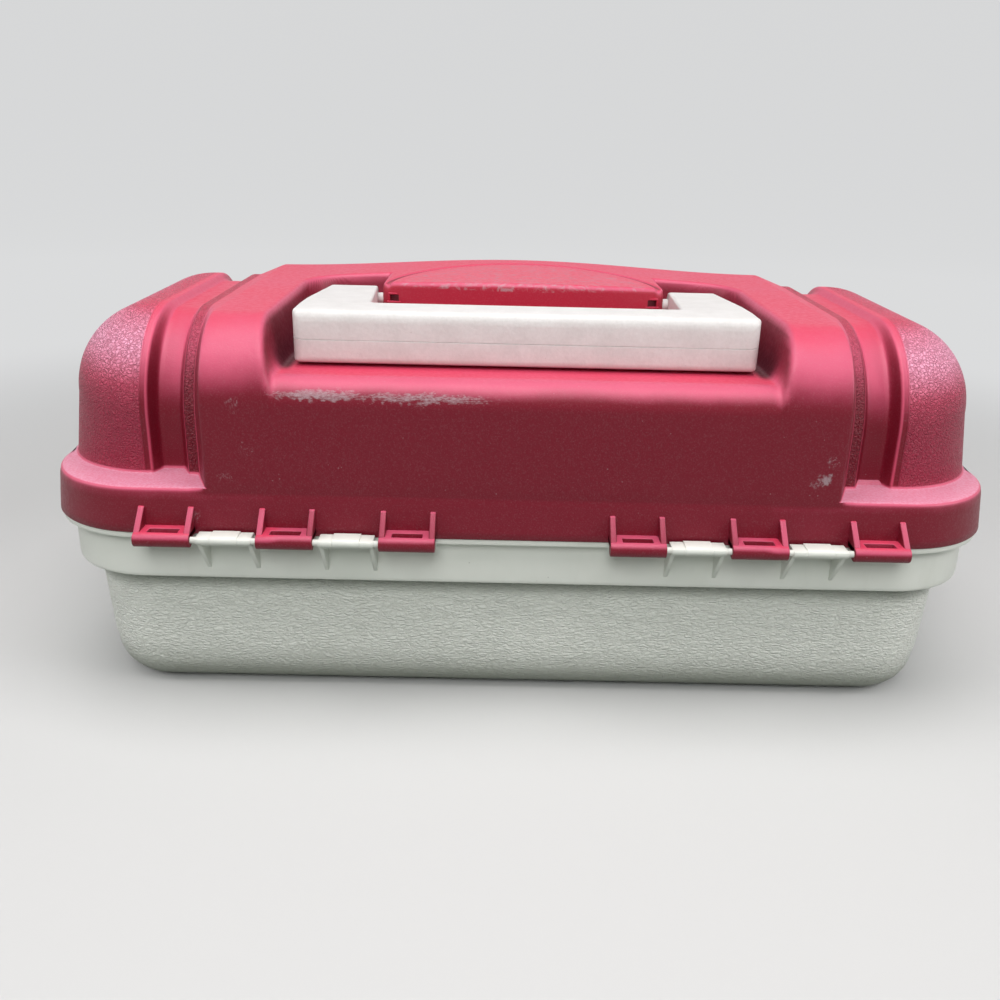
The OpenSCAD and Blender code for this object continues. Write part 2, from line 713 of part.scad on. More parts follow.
// Side view of a snapped latch about its pin: barrel, plate, hook under the lip and finger lip
module latch_side() {
    face = -latch_barrel_r;
    hook_y = lip_in + hook_bite - half_d - latch_y;
    hook_z = hook_top - latch_z;
    difference() {
        union() {
            circle(latch_barrel_r);
            translate([face, -latch_l]) square([latch_t, latch_l]);
            polygon([[face, hook_z - hook_h], [hook_y, hook_z - hook_h / 2], [hook_y, hook_z], [face, hook_z]]);
            polygon([[face, -latch_l], [face + latch_t, -latch_l], [face + latch_t, 2 * hook_h - latch_l],
                [face - hook_h, -latch_l], [face - hook_h, -latch_l - hook_h / 2]]);
        }
        circle(latch_pin_r + run_fit);
    }
}

module latch(x) color(handle_white)
    translate([x, latch_y, latch_z]) rotate([-latch_rest, 0, 0])
        rotate([90, 0, 90]) linear_extrude(latch_w, center = true) latch_side();

module latch_pin(x) color(steel) {
    half = latch_w / 2 + seat + ear_t;
    rod([latch_y, latch_z], x - half, x + half, latch_pin_r);
}

// ---------------------------------------------------------------- trays

// Front, rear and middle of tray k: 0 is the lower, 1 the upper
function tray_front(k) = (k == 0 ? lower_front_in : upper_front_in) - half_d;
function tray_rear(k) = half_d - (k == 0 ? lower_rear_in : upper_rear_in);
function tray_mid(k) = (tray_front(k) + tray_rear(k)) / 2;
function tray_depth(k) = tray_rear(k) - tray_front(k);

// Place of the lengthwise partition and of the dividers in front of and behind it
function tray_split(k) = tray_front(k) + tray_depth(k) * (k == 0 ? lower_split : upper_split);
function front_dividers(k) = [-tray_half / 2, 0, tray_half / 2];
function rear_dividers(k) = k == 0 ? [-tray_half / 3, tray_half / 3] : [];

// Open shell of tray k, i in from its outside, from z0 to z1
module tray_form(k, i, z0, z1)
    translate([0, tray_mid(k), 0]) ring_form(tray_half - i, tray_depth(k) / 2 - i, tray_r - i, [z0, z1])
        wall_profile(tray_r - tray_draft - i, tray_r - i, z0, z1);

// Pair of ribs that hold a divider, standing from y0 to y1
module slot_ribs(k, x, y0, y1)
    for (s = [0, 1]) translate([x, 0, 0]) mirror([s, 0, 0])
        translate([divider_t / 2 + divider_gap, y0, tray_z[k] + over])
            cube([slot_rib, y1 - y0, tray_h - divider_drop]);

module tray(k) color(tray_grey) {
    z = tray_z[k];
    split = tray_split(k);
    front_y = tray_front(k) + tray_wall;
    rear_y = tray_rear(k) - tray_wall;
    difference() {
        tray_form(k, 0, z, z + tray_h);
        tray_form(k, tray_wall, z + tray_wall, z + tray_h + over);
        for (s = [0, 1], p = [rear_pin[k], front_pin[k]]) mirror([s, 0, 0])
            rod(p, tray_half - 2 * tray_wall, tray_half + over, rivet_r + run_fit);
    }
    // Lengthwise partition
    translate([tray_wall / 2 - tray_half, split - divider_t / 2, z + over])
        cube([2 * tray_half - tray_wall, divider_t, tray_h - divider_drop]);
    for (x = front_dividers(k)) {
        slot_ribs(k, x, front_y - over, front_y + slot_rib);
        slot_ribs(k, x, split - divider_t / 2 - slot_rib, split);
    }
    for (x = rear_dividers(k)) {
        slot_ribs(k, x, split, split + divider_t / 2 + slot_rib);
        slot_ribs(k, x, rear_y - slot_rib, rear_y + over);
    }
}

// Loose divider from y0 to y1
module divider(k, x, y0, y1) color(tray_grey)
    translate([x - divider_t / 2, y0, tray_z[k] + tray_wall + run_fit])
        cube([divider_t, y1 - y0, tray_h - tray_wall - divider_drop]);

module front_divider(k, n)
    divider(k, front_dividers(k)[n], tray_front(k) + wall_inset, tray_split(k) - divider_t / 2 - seat);
module rear_divider(k, n)
    divider(k, rear_dividers(k)[n], tray_split(k) + divider_t / 2 + seat, tray_rear(k) - wall_inset);

// Rivet through a tray's end wall and an arm or bracket, with a head on each side
module tray_rivet(p) {
    head_in = tray_half - wall_inset;
    head_out = arm_x + arm_t + seat / 2;
    rod(p, head_in, head_out, rivet_r);
    rod(p, head_in - rivet_head_t, head_in, rivet_head_r);
    rod(p, head_out, head_out + rivet_head_t, rivet_head_r);
}

module tray_rivets(k) color(steel)
    for (s = [0, 1], p = [rear_pin[k], front_pin[k]]) mirror([s, 0, 0]) tray_rivet(p);

// ---------------------------------------------------------------- arms and brackets

// Steel plate with a round eye at each hole point and bars between them
module link_plate(bars, holes) color(steel) difference() {
    plate(arm_x, arm_x + arm_t) {
        for (p = holes) translate(p) circle(arm_w / 2);
        for (q = bars) bar(q[0], q[1], arm_w - arm_waist);
    }
    for (p = holes) rod(p, arm_x - over, arm_x + arm_t + over, rivet_r + run_fit);
}

module tray_arm()
    link_plate([[arm_p, front_pin[0]], [front_pin[0], front_pin[1]], [arm_p, front_pin[1]]],
        concat([arm_p], front_pin));

module lid_bracket()
    link_plate([[rear_pin[0], rear_pin[1]], [rear_pin[0], bracket_post[0]], [rear_pin[1], bracket_post[1]],
        [bracket_post[0], bracket_post[1]]], concat(rear_pin, bracket_post));

// Rivet that holds an arm or bracket on its post
module post_rivet(p) {
    rod(p, arm_x - seat, post_x + post_rivet_l, rivet_r);
    rod(p, arm_x - seat / 2 - rivet_head_t, arm_x - seat / 2, rivet_head_r);
}

module post_rivets(points) color(steel) for (s = [0, 1], p = points) mirror([s, 0, 0]) post_rivet(p);

// ---------------------------------------------------------------- nodes

base_tub();
post_rivets([arm_p]);  // base_arm_rivets
lid_shell();
mirror([1, 0, 0]) lid_bracket();  // left_lid_bracket
lid_bracket();  // right_lid_bracket
post_rivets(bracket_post);  // bracket_rivets
latch_pin(-latch_x);  // left_latch_pin
latch_pin(latch_x);  // right_latch_pin
handle();
latch(-latch_x);  // left_latch
latch(latch_x);  // right_latch
mirror([1, 0, 0]) tray_arm();  // left_tray_arm
tray_arm();  // right_tray_arm
tray(0);  // lower_tray
tray_rivets(0);  // lower_tray_rivets
tray(1);  // upper_tray
tray_rivets(1);  // upper_tray_rivets
front_divider(0, 0);  // lower_divider_1
front_divider(0, 1);  // lower_divider_2
front_divider(0, 2);  // lower_divider_3
rear_divider(0, 0);  // lower_divider_4
rear_divider(0, 1);  // lower_divider_5
front_divider(1, 0);  // upper_divider_1
front_divider(1, 1);  // upper_divider_2
front_divider(1, 2);  // upper_divider_3
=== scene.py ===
import bpy
import bmesh
import math
from mathutils import Vector, Matrix


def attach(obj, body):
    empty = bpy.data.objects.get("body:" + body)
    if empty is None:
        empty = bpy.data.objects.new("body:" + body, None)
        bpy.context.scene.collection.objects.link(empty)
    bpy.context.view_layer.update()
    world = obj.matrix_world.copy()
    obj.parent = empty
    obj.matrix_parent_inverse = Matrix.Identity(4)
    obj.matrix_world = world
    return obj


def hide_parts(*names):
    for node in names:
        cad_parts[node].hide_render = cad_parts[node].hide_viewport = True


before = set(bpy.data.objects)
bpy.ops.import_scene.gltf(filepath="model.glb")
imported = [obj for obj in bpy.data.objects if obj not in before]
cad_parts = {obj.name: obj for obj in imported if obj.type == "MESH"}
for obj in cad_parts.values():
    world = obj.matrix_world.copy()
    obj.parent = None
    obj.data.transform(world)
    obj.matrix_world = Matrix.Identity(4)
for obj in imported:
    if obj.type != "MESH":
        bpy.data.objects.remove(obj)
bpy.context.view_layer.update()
quarterTurn = math.pi / 2
print("frame loaded")


painting = {}    # holds the node tree that the functions below add to


def startNodes(owner, name):
    # Opens the node tree of a material or a world, and returns the node of this name
    owner.use_nodes = True
    painting["tree"] = owner.node_tree
    return owner.node_tree.nodes[name]


def newMaterial(name):
    mat = bpy.data.materials.new(name)
    return mat, startNodes(mat, "Principled BSDF")


def setInputs(node, inputs):
    for key, value in inputs.items():
        if isinstance(value, bpy.types.NodeSocket):
            painting["tree"].links.new(value, node.inputs[key])
        else:
            node.inputs[key].default_value = value


def addNode(kind, inputs=None, **settings):
    node = painting["tree"].nodes.new(kind)
    for key, value in settings.items():
        setattr(node, key, value)
    setInputs(node, inputs or {})
    return node


def objectCoords():
    return addNode("ShaderNodeTexCoord").outputs["Object"]


def noise(coords, scale, detail=3.0, rough=0.5, distortion=0.0):
    return addNode("ShaderNodeTexNoise", {"Vector": coords, "Scale": scale, "Detail": detail,
                                                "Roughness": rough, "Distortion": distortion}).outputs["Fac"]


def mathNode(how, a, b=0.0):
    return addNode("ShaderNodeMath", {0: a, 1: b}, operation=how).outputs[0]


def vectorMath(how, a, b=(0, 0, 0), out="Vector"):
    return addNode("ShaderNodeVectorMath", {0: a, 1: b}, operation=how).outputs[out]


def chained(how, values):
    result = values[0]
    for value in values[1:]:
        result = mathNode(how, result, value)
    return result


def product(*values):
    return chained("MULTIPLY", values)


def total(*values):
    return chained("ADD", values)


def largest(*values):
    return chained("MAXIMUM", values)


def mapRange(value, low, high, outLow=0.0, outHigh=1.0, smooth=True):
    return addNode("ShaderNodeMapRange", {"Value": value, "From Min": low, "From Max": high,
                                                "To Min": outLow, "To Max": outHigh},
                   interpolation_type="SMOOTHSTEP" if smooth else "LINEAR").outputs["Result"]


def inside(value, low, high, soft):
    rise = mapRange(value, low - soft, low + soft)
    return product(rise, mapRange(value, high - soft, high + soft, 1.0, 0.0))


def zoneMask(axes, limits):
    # A limit is an axis with two or four numbers for a ramp, or with three for a span that has soft ends
    masks = [(inside if len(numbers) == 3 else mapRange)(axes[axis], *numbers) for axis, *numbers in limits]
    return product(*masks)


def mixColour(factor, a, b):
    return addNode("ShaderNodeMix", {0: factor, 6: a, 7: b}, data_type="RGBA").outputs[2]


def addBump(height, strength, distance, normal=None):
    inputs = {"Height": height, "Strength": strength, "Distance": distance}
    if normal is not None:
        inputs["Normal"] = normal
    return addNode("ShaderNodeBump", inputs).outputs["Normal"]


def axisOf(coords):
    return addNode("ShaderNodeSeparateXYZ", {0: coords}).outputs[:]


def stretched(coords, scale, turn=(0, 0, 0)):
    return addNode("ShaderNodeMapping", {"Vector": coords, "Scale": scale, "Rotation": turn}).outputs[0]


def cells(coords, scale, feature="DISTANCE_TO_EDGE"):
    return addNode("ShaderNodeTexVoronoi", {"Vector": coords, "Scale": scale},
                   feature=feature).outputs["Distance"]


def warped(coords, scale, amount):
    # The coordinates pushed about by a soft noise, so that no pattern runs straight
    cloud = addNode("ShaderNodeTexNoise", {"Vector": coords, "Scale": scale, "Detail": 2.0}).outputs["Color"]
    centred = vectorMath("SUBTRACT", cloud, (0.5, 0.5, 0.5))
    push = addNode("ShaderNodeVectorMath", {0: centred, "Scale": amount}, operation="SCALE").outputs[0]
    return vectorMath("ADD", coords, push)


def mottled(coords, scale, detail, rough=0.5, low=0.0, high=1.0):
    # A soft cloud that runs between two values
    return mapRange(noise(coords, scale, detail, rough), 0.3, 0.7, low, high)


def specksOf(coords, many, size, weight, patches, cover):
    # Small specks that gather in patches
    dots = mapRange(cells(coords, many, "F1"), *size, weight, 0.0)
    return product(dots, mapRange(noise(coords, patches, 2.0), *cover))


# Scales and shares of the moulded leather; scales are parts of one pillow
leatherGrain = {
    "bend": 0.35, "push": 1.1, "small": 2.3, "long": 0.55, "fineShare": 0.62, "smallShare": 0.38,
    "fineEdge": 0.30, "smallEdge": 0.4, "creaseEdge": 0.07}


def leatherHeight(coords, size, wrinkle):
    # Small pillows between creases, with some longer wrinkles; size is a pillow in metres
    g = leatherGrain
    bent = warped(coords, g["bend"] / size, size * g["push"])
    fine = mapRange(cells(bent, 1.0 / size), 0.0, g["fineEdge"])
    small = mapRange(cells(bent, g["small"] / size), 0.0, g["smallEdge"])
    long = mathNode("SUBTRACT", noise(bent, g["long"] / size, 3.0, 0.6, 0.6), 0.5)
    crease = mapRange(mathNode("ABSOLUTE", long), 0.0, g["creaseEdge"])
    grain = total(product(fine, g["fineShare"]), product(small, g["smallShare"]))
    return total(product(grain, 1 - wrinkle), product(crease, wrinkle))


# Marks of use on the lid: middle and half size in millimetres, how thick each is, and the scale of its streaks
lidScuffs = {
    "lipScuff": ((46, 113.5, 155.5), (86, 13, 6.4), 0.54, (420, 420, 1500)),
    "lipScuffStrong": ((90, 113.5, 156.0), (50, 13, 6.4), 0.60, (420, 420, 1500)),
    "rightPatch": ((-133, 113, 123), (7.0, 9, 6.6), 0.66, (620, 620, 620)),
    "rightSpray": ((-130, 113, 121), (10, 7, 6), 0.46, (900, 900, 900)),
    "rightPatchTop": ((-135.5, 113, 131), (7, 9, 9), 0.44, (900, 900, 900)),
    "leftScratches": ((127, 112, 152), (8, 12, 10), 0.42, (1300, 500, 420)),
    "leftMarks": ((122, 113, 131), (13, 9, 11), 0.36, (1300, 1300, 1300)),
    "lowMarks": ((132, 114, 118), (11, 9, 7), 0.40, (1200, 1200, 900)),
    "knuckleMarks": ((146, 115, 100), (7, 9, 9), 0.42, (1100, 1100, 800))}
redLid = {
    "deep": (0.168, 0.0050, 0.0170, 1), "fadedAndLit": (0.62, 0.043, 0.100, 1), "shoulder": (0.60, 0.090, 0.170, 1),
    "boss": (0.40, 0.020, 0.045, 1), "ledge": (0.70, 0.29, 0.41, 1), "dome": (0.36, 0.026, 0.064, 1),
    "highlightPink": (0.80, 0.120, 0.220, 1), "glint": (1.0, 0.56, 0.78, 1), "shadeDark": (0.035, 0.003, 0.006, 1),
    "scuff": (0.42, 0.33, 0.36, 1), "rough": 0.42, "grainSize": 0.0017, "grainDepth": 0.00080, "wrinkle": 0.25,
    "lipHighlightDrop": 0.24, "skirt": (0.1060, 0.1085, 0.85, 1.0), "toShoulderHighlight": (0.10, 0.66), "toFadedAndLit": (0.70, 1.08),
    "underShadow": 0.22, "paintedShade": 0.90, "ledgeSheen": (0.35, 0.65, 0.65, 1.0), "creaseShadeTone": 0.45,
    "domeLit": (0.06, 0.66), "domeGlint": (0.50, 0.90, 0.20), "glintShare": 0.75,
    "domeShare": (0.90, 1.0, 0.9, 0.15), "bandShare": (0.30, 0.75, 0.75, 0.25),
    "edgeShare": (0.55, 0.85, 0.60, 0.15), "badgeY": 0.0095, "badgeField": 0.066,
    "badgeRing": (0.0701, 0.0729, 0.0004), "badgeTop": (0.1862, 0.1870), "rubbed": 0.85,
    "specks": (210.0, (0.055, 0.085), 1.0, 60.0, (0.52, 0.66)), "speckShare": 0.35, "white": 0.72}
# Where the colours of the lid change, in metres along each axis; aside is the distance from the middle
lidZones = {
    "lip": (("aside", 0.106, 0.113, 1.0, 0.0), ("z", 0.160, 0.168, 1.0, 0.0), ("y", 0.098, 0.102)),
    "boss": (("y", -0.004, 0.019, 0.001), ("aside", 0.0765, 0.0772, 1.0, 0.0), ("z", 0.1625, 0.1640)),
    "pocket": (("aside", 0.1060, 0.1165, 0.0020), ("y", 0.030, 0.0900, 0.006),
        ("z", 0.1630, 0.1790, 1.0, 0.0), ("z", 0.1600, 0.1615)),
    "under": (("aside", 0.1040, 0.1070, 1.0, 0.0), ("y", 0.0800, 0.0878, 0.0022),
        ("z", 0.1605, 0.1630, 0.0006)),
    "slot": (("aside", 0.0652, 0.0698, 0.0002), ("y", -0.004, 0.0085, 0.001), ("z", 0.1787, 0.1820, 0.0002)),
    "ledge": (("z", 0.1108, 0.1142, 0.0004), ("upward", 0.75, 0.95)), "above": (("z", 0.1125, 0.1140),),
    "dome": (("aside", 0.1744, 0.1752),), "band": (("aside", 0.1496, 0.1544, 0.0003),),
    "bandEdge": (("aside", 0.1484, 0.1492, 0.0004),), "bandFoot": (("aside", 0.1546, 0.1552, 0.0004),),
    "domeEdge": (("aside", 0.1712, 0.1722, 0.0004),), "domeBead": (("aside", 0.1742, 0.1746, 0.0003),),
    "bandBead": (("aside", 0.1493, 0.1496, 0.0002),), "footBead": (("aside", 0.1541, 0.1544, 0.0002),)}


def scuffMask(coords, spot):
    middle, half, amount, scale = spot
    ragged = warped(coords, 300.0, min(half) / 900)
    away = vectorMath("SUBTRACT", ragged, [c / 1000 for c in middle])
    away = vectorMath("MULTIPLY", away, [1000 / c for c in half])
    body = mapRange(vectorMath("LENGTH", away, out="Value"), 0.15, 1.0, amount, -0.25)
    rubs = noise(stretched(coords, scale), 1.0, 5.0, 0.75, 0.4)
    return mapRange(total(body, rubs), 0.86, 1.22)


def fadedRedWithPaintedLight(coords, axes, zones):
    # Lighter where the lid faces up and deep where it stands upright: partly sun-fading and partly painted
    # light, with painted shade on the upright walls and a painted highlight on the rounded shoulders
    cloud = noise(coords, 26.0, 4.0, 0.6)
    lean = total(axes["upward"], mapRange(cloud, 0.25, 0.75, -0.06, 0.06))
    # On the recess lip, the painted highlight and the lighter tone start only where the lip faces further up
    lean = mathNode("SUBTRACT", lean, product(zones["lip"], redLid["lipHighlightDrop"]))
    # The boss's upright near face is painted a lighter red than the other walls: partly sun-fading, partly
    # painted light from the front
    base = mixColour(zones["boss"], redLid["deep"], redLid["boss"])
    # A painted highlight on the rounded shoulders, kept above the skirt
    shoulder = product(mapRange(lean, *redLid["toShoulderHighlight"]), mapRange(axes["z"], *redLid["skirt"]))
    base = mixColour(shoulder, base, redLid["shoulder"])
    # Lighter still where the lid faces up: partly sun-fading, partly painted light
    base = mixColour(mapRange(lean, *redLid["toFadedAndLit"]), base, redLid["fadedAndLit"])
    # Painted shade in the ends of the recess and in the boss slots, and a faint painted shadow under the handle
    paintedShade = largest(zones["pocket"], product(zones["under"], redLid["underShadow"]), zones["slot"])
    base = mixColour(product(paintedShade, redLid["paintedShade"]), base, redLid["shadeDark"])
    # The ledge round the foot is painted paler still, as a mottled painted sheen
    ledgeSheen = mapRange(noise(coords, 900.0, 2.0), *redLid["ledgeSheen"])
    return mixColour(product(zones["ledge"], ledgeSheen), base, redLid["ledge"])


def domeRed(base, leather, upward, zones):
    # Painted light on the domes and bands: paler pillows as a painted highlight where they face up, with a
    # painted glint, deeper creases and deep red on the upright bands as painted shade, and pale edges beside
    # them as painted highlights
    above = zones["above"]
    lit = product(mapRange(upward, *redLid["domeLit"]), mapRange(leather, 0.25, 0.85, 0.35, 1.1))
    face = mixColour(lit, redLid["dome"], redLid["highlightPink"])
    shine = product(inside(upward, *redLid["domeGlint"]), mapRange(leather, 0.2, 0.9, 0.5, 1.0))
    face = mixColour(product(shine, redLid["glintShare"]), face, redLid["glint"])
    share = mapRange(upward, *redLid["domeShare"])
    base = mixColour(product(zones["dome"], above, share), base, face)
    bands = product(zones["band"], above, mapRange(upward, *redLid["bandShare"]))
    base = mixColour(bands, base, redLid["deep"])
    edges = largest(zones["bandEdge"], zones["bandFoot"], zones["domeEdge"])
    edges = product(edges, above, mapRange(upward, *redLid["edgeShare"]))
    return mixColour(edges, base, redLid["highlightPink"])


def badgeWear(coords, axes):
    # Rubs on the plain badge field, and the ring groove round it
    onTop = mapRange(axes["z"], *redLid["badgeTop"])
    fromMiddle = mathNode("SUBTRACT", axes["y"], redLid["badgeY"])
    flat = addNode("ShaderNodeCombineXYZ", {"X": axes["x"], "Y": fromMiddle}).outputs[0]
    away = vectorMath("LENGTH", flat, out="Value")
    share = mathNode("POWER", mathNode("DIVIDE", away, redLid["badgeField"]), 2.0)
    rubbed = noise(stretched(coords, (210, 420, 210), (0, 0, 0.4)), 1.0, 6.0, 0.72, 0.8)
    rubbed = product(mapRange(share, 0.86, 1.0, 1.0, 0.0), onTop, mapRange(rubbed, 0.46, 0.68))
    return rubbed, product(inside(away, *redLid["badgeRing"]), onTop)


def makeRedPlastic():
    mat, shader = newMaterial("raspberryPlastic")
    coords = objectCoords()
    x, y, z = axisOf(coords)
    upward = axisOf(addNode("ShaderNodeTexCoord").outputs["Normal"])[2]
    axes = {"x": x, "aside": mathNode("ABSOLUTE", x), "y": y, "z": z, "upward": upward}
    zones = {name: zoneMask(axes, limits) for name, limits in lidZones.items()}
    base = fadedRedWithPaintedLight(coords, axes, zones)
    # Leather grain on both domes and on the narrow bands, satin elsewhere
    grained = product(largest(zones["dome"], zones["band"]), zones["above"])
    leather = leatherHeight(coords, redLid["grainSize"], redLid["wrinkle"])
    base = domeRed(base, leather, upward, zones)
    satin = noise(coords, 1500.0, 3.0, 0.6)
    coarse = noise(coords, 420.0, 3.0, 0.55)
    # Scuffs, rubs and fine specks show the paler plastic under the skin
    marks = [scuffMask(coords, spot) for spot in lidScuffs.values()]
    rubbed, groove = badgeWear(coords, axes)
    specks = specksOf(coords, *redLid["specks"])
    white = largest(*marks, product(rubbed, redLid["rubbed"]), product(specks, redLid["speckShare"]))
    # Painted shade: the badge's ring groove and the creases of the grain are darkened
    base = mixColour(product(groove, redLid["paintedShade"]), base, redLid["deep"])
    creaseShade = product(grained, mapRange(leather, 0.15, 0.6, 0.22, 0.0))
    base = mixColour(creaseShade, base, [c * redLid["creaseShadeTone"] for c in redLid["deep"][:3]] + [1])
    base = mixColour(mapRange(satin, 0.45, 0.85, 0.0, 0.10), base, redLid["scuff"])
    base = mixColour(product(white, redLid["white"]), base, redLid["scuff"])
    rough = total(redLid["rough"], mapRange(coarse, 0.3, 0.7, -0.04, 0.06), product(white, 0.18))
    smooth = addBump(total(satin, product(coarse, 1.2)), 0.7, 0.00010)
    # A fine bead where the grain of the domes and bands starts
    beads = largest(zones["domeBead"], zones["bandBead"], zones["footBead"])
    smooth = addBump(product(beads, zones["above"]), 0.9, 0.00035, smooth)
    normal = addBump(product(leather, grained), 0.9, redLid["grainDepth"], smooth)
    setInputs(shader, {"Base Color": base, "Roughness": rough, "IOR": 1.40, "Normal": normal})
    return mat


greyTub = {
    "colour": (0.79, 0.80, 0.755, 1), "tone": (0.735, 0.75, 0.70, 1), "tub": (0.90, 0.91, 0.86, 1),
    "shade": (0.25, 0.27, 0.23, 1), "grimeAndShade": (0.42, 0.42, 0.35, 1), "speck": (0.12, 0.10, 0.08, 1),
    "rough": (0.43, 0.55), "grainSize": 0.0020, "grainDepth": 0.00075, "wrinkle": 0.22,
    "grainWide": (0.50, 0.50, 1.25), "grainTop": (0.0650, 0.0662, 1.0, 0.0), "tubShare": 0.85,
    "shadeHigh": (0.0530, 0.0650, 0.0, 0.85), "shadeLow": (0.004, 0.028, 0.72, 0.0),
    "lowShade": (0.002, 0.022, 0.30, 0.0), "specks": (120.0, (0.03, 0.05), 0.5, 40.0, (0.58, 0.68))}


def makeGreyPlastic():
    mat, shader = newMaterial("paleGreyPlastic")
    coords = objectCoords()
    z = axisOf(coords)[2]
    base = mixColour(mottled(coords, 18.0, 4.0, 0.6), greyTub["tone"], greyTub["colour"])
    # Leather grain below the smooth band
    below = mapRange(z, *greyTub["grainTop"])
    # The tub below the band is painted paler than the band, though both are one plastic: the band's darker tone
    # is painted shade of the lid's shadow
    base = mixColour(product(below, greyTub["tubShare"]), base, greyTub["tub"])
    # Painted shade just under the band, where the band casts its shadow, and where the tub curves under near
    # the ground
    shade = largest(mapRange(z, *greyTub["shadeHigh"]), mapRange(z, *greyTub["shadeLow"]))
    base = mixColour(product(below, shade), base, greyTub["shade"])
    wide = stretched(coords, greyTub["grainWide"])
    leather = leatherHeight(wide, greyTub["grainSize"], greyTub["wrinkle"])
    # The creases of the grain are darkened as painted shade
    creaseShade = product(below, mapRange(leather, 0.15, 0.6, 0.14, 0.0))
    base = mixColour(creaseShade, base, greyTub["grimeAndShade"])
    # Painted shade low down, where the tub curves under, and a little dirt in soft streaks
    low = mapRange(z, *greyTub["lowShade"])
    streak = mapRange(noise(stretched(coords, (55, 55, 12)), 1.0, 4.0, 0.65), 0.55, 0.75, 0.0, 0.10)
    base = mixColour(largest(low, streak), base, greyTub["grimeAndShade"])
    base = mixColour(specksOf(coords, *greyTub["specks"]), base, greyTub["speck"])
    rough = mottled(coords, 300.0, 3.0, 0.5, *greyTub["rough"])
    smooth = addBump(noise(coords, 1300.0, 3.0, 0.6), 0.5, 0.00004)
    swell = noise(stretched(warped(coords, 90.0, 0.006), (120, 120, 330)), 1.0, 2.0, 0.5)
    smooth = addBump(product(swell, below), 0.6, 0.0006, smooth)
    normal = addBump(product(leather, below), 0.9, greyTub["grainDepth"], smooth)
    setInputs(shader, {"Base Color": base, "Roughness": rough, "IOR": 1.5, "Normal": normal})
    return mat


whiteGrip = {
    "colour": (0.725, 0.705, 0.70, 1), "tone": (0.635, 0.612, 0.605, 1), "mark": (0.36, 0.28, 0.26, 1),
    "rough": (0.46, 0.6), "specks": (150.0, (0.03, 0.06), 0.7, 70.0, (0.55, 0.66))}


def makeWhitePlastic():
    mat, shader = newMaterial("warmWhitePlastic")
    coords = objectCoords()
    mottle = noise(coords, 700.0, 3.0, 0.6)
    tone = total(mottled(coords, 90.0, 5.0, 0.65, 0.0, 0.6), mapRange(mottle, 0.3, 0.7, 0.0, 0.4))
    base = mixColour(tone, whiteGrip["tone"], whiteGrip["colour"])
    base = mixColour(specksOf(coords, *whiteGrip["specks"]), base, whiteGrip["mark"])
    soft = addBump(noise(coords, 520.0, 3.0, 0.6), 0.7, 0.00022)
    normal = addBump(noise(coords, 1500.0, 2.0, 0.6), 0.6, 0.00004, soft)
    setInputs(shader, {"Base Color": base, "Roughness": mapRange(mottle, 0.3, 0.7, *whiteGrip["rough"]),
                       "IOR": 1.48, "Normal": normal})
    return mat


trayGrey = {
    "low": (0.50, 0.51, 0.49, 1), "high": (0.58, 0.59, 0.565, 1), "rub": (0.40, 0.39, 0.36, 1),
    "rough": (0.34, 0.48)}


def makeTrayPlastic():
    mat, shader = newMaterial("trayPlastic")
    coords = objectCoords()
    base = mixColour(mottled(coords, 30.0, 4.0, 0.6), trayGrey["low"], trayGrey["high"])
    rubs = noise(stretched(coords, (40, 260, 260)), 1.0, 5.0, 0.7)
    base = mixColour(mapRange(rubs, 0.56, 0.72, 0.0, 0.3), base, trayGrey["rub"])
    setInputs(shader, {"Base Color": base, "Roughness": mottled(coords, 240.0, 3.0, 0.5, *trayGrey["rough"]),
                       "Normal": addBump(noise(coords, 900.0, 3.0), 0.5, 0.00004)})
    return mat


zinc = {
    "low": (0.50, 0.51, 0.53, 1), "high": (0.64, 0.65, 0.67, 1), "spot": (0.30, 0.24, 0.19, 1),
    "rough": (0.28, 0.5)}


def makeSteel():
    mat, shader = newMaterial("zincSteel")
    coords = objectCoords()
    spangle = addNode("ShaderNodeTexVoronoi", {"Vector": coords, "Scale": 190.0}).outputs["Color"]
    base = mixColour(axisOf(spangle)[0], zinc["low"], zinc["high"])
    spots = mapRange(noise(coords, 75.0, 5.0, 0.7), 0.60, 0.74, 0.0, 0.7)
    base = mixColour(spots, base, zinc["spot"])
    rough = mottled(stretched(coords, (160, 30, 400)), 1.0, 5.0, 0.5, *zinc["rough"])
    brushed = noise(stretched(coords, (900, 120, 900)), 1.0, 3.0)
    setInputs(shader, {"Metallic": 1.0, "Base Color": base, "Roughness": rough,
                       "Normal": addBump(brushed, 0.4, 0.00003)})
    return mat


redPlastic = makeRedPlastic()
greyPlastic = makeGreyPlastic()
whitePlastic = makeWhitePlastic()
trayPlastic = makeTrayPlastic()
zincSteel = makeSteel()
print("materials made")

nodeMaterials = {"base_tub": greyPlastic, "lid_shell": redPlastic, "handle": whitePlastic,
                 "left_latch": whitePlastic, "right_latch": whitePlastic}
for name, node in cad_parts.items():
    isTray = "tray" in name and "arm" not in name and "rivets" not in name or "divider" in name
    for slot in node.material_slots:
        slot.material = trayPlastic if isTray else nodeMaterials.get(name, zincSteel)
print("node materials set")


def mixValue(a, b, t):
    return a + (b - a) * t


def smoothRamp(x, low, high, soft):
    # A ramp from 0 to 1 with both of its bends rounded
    t, e = (x - low) / (high - low), soft / (high - low)
    if t < e:
        return max(t + e, 0.0) ** 2 / (4 * e)
    if t > 1 - e:
        return 1 - max(1 + e - t, 0.0) ** 2 / (4 * e)
    return t


def span(start, stop, count):
    return [start + (stop - start) * k / count for k in range(count)]


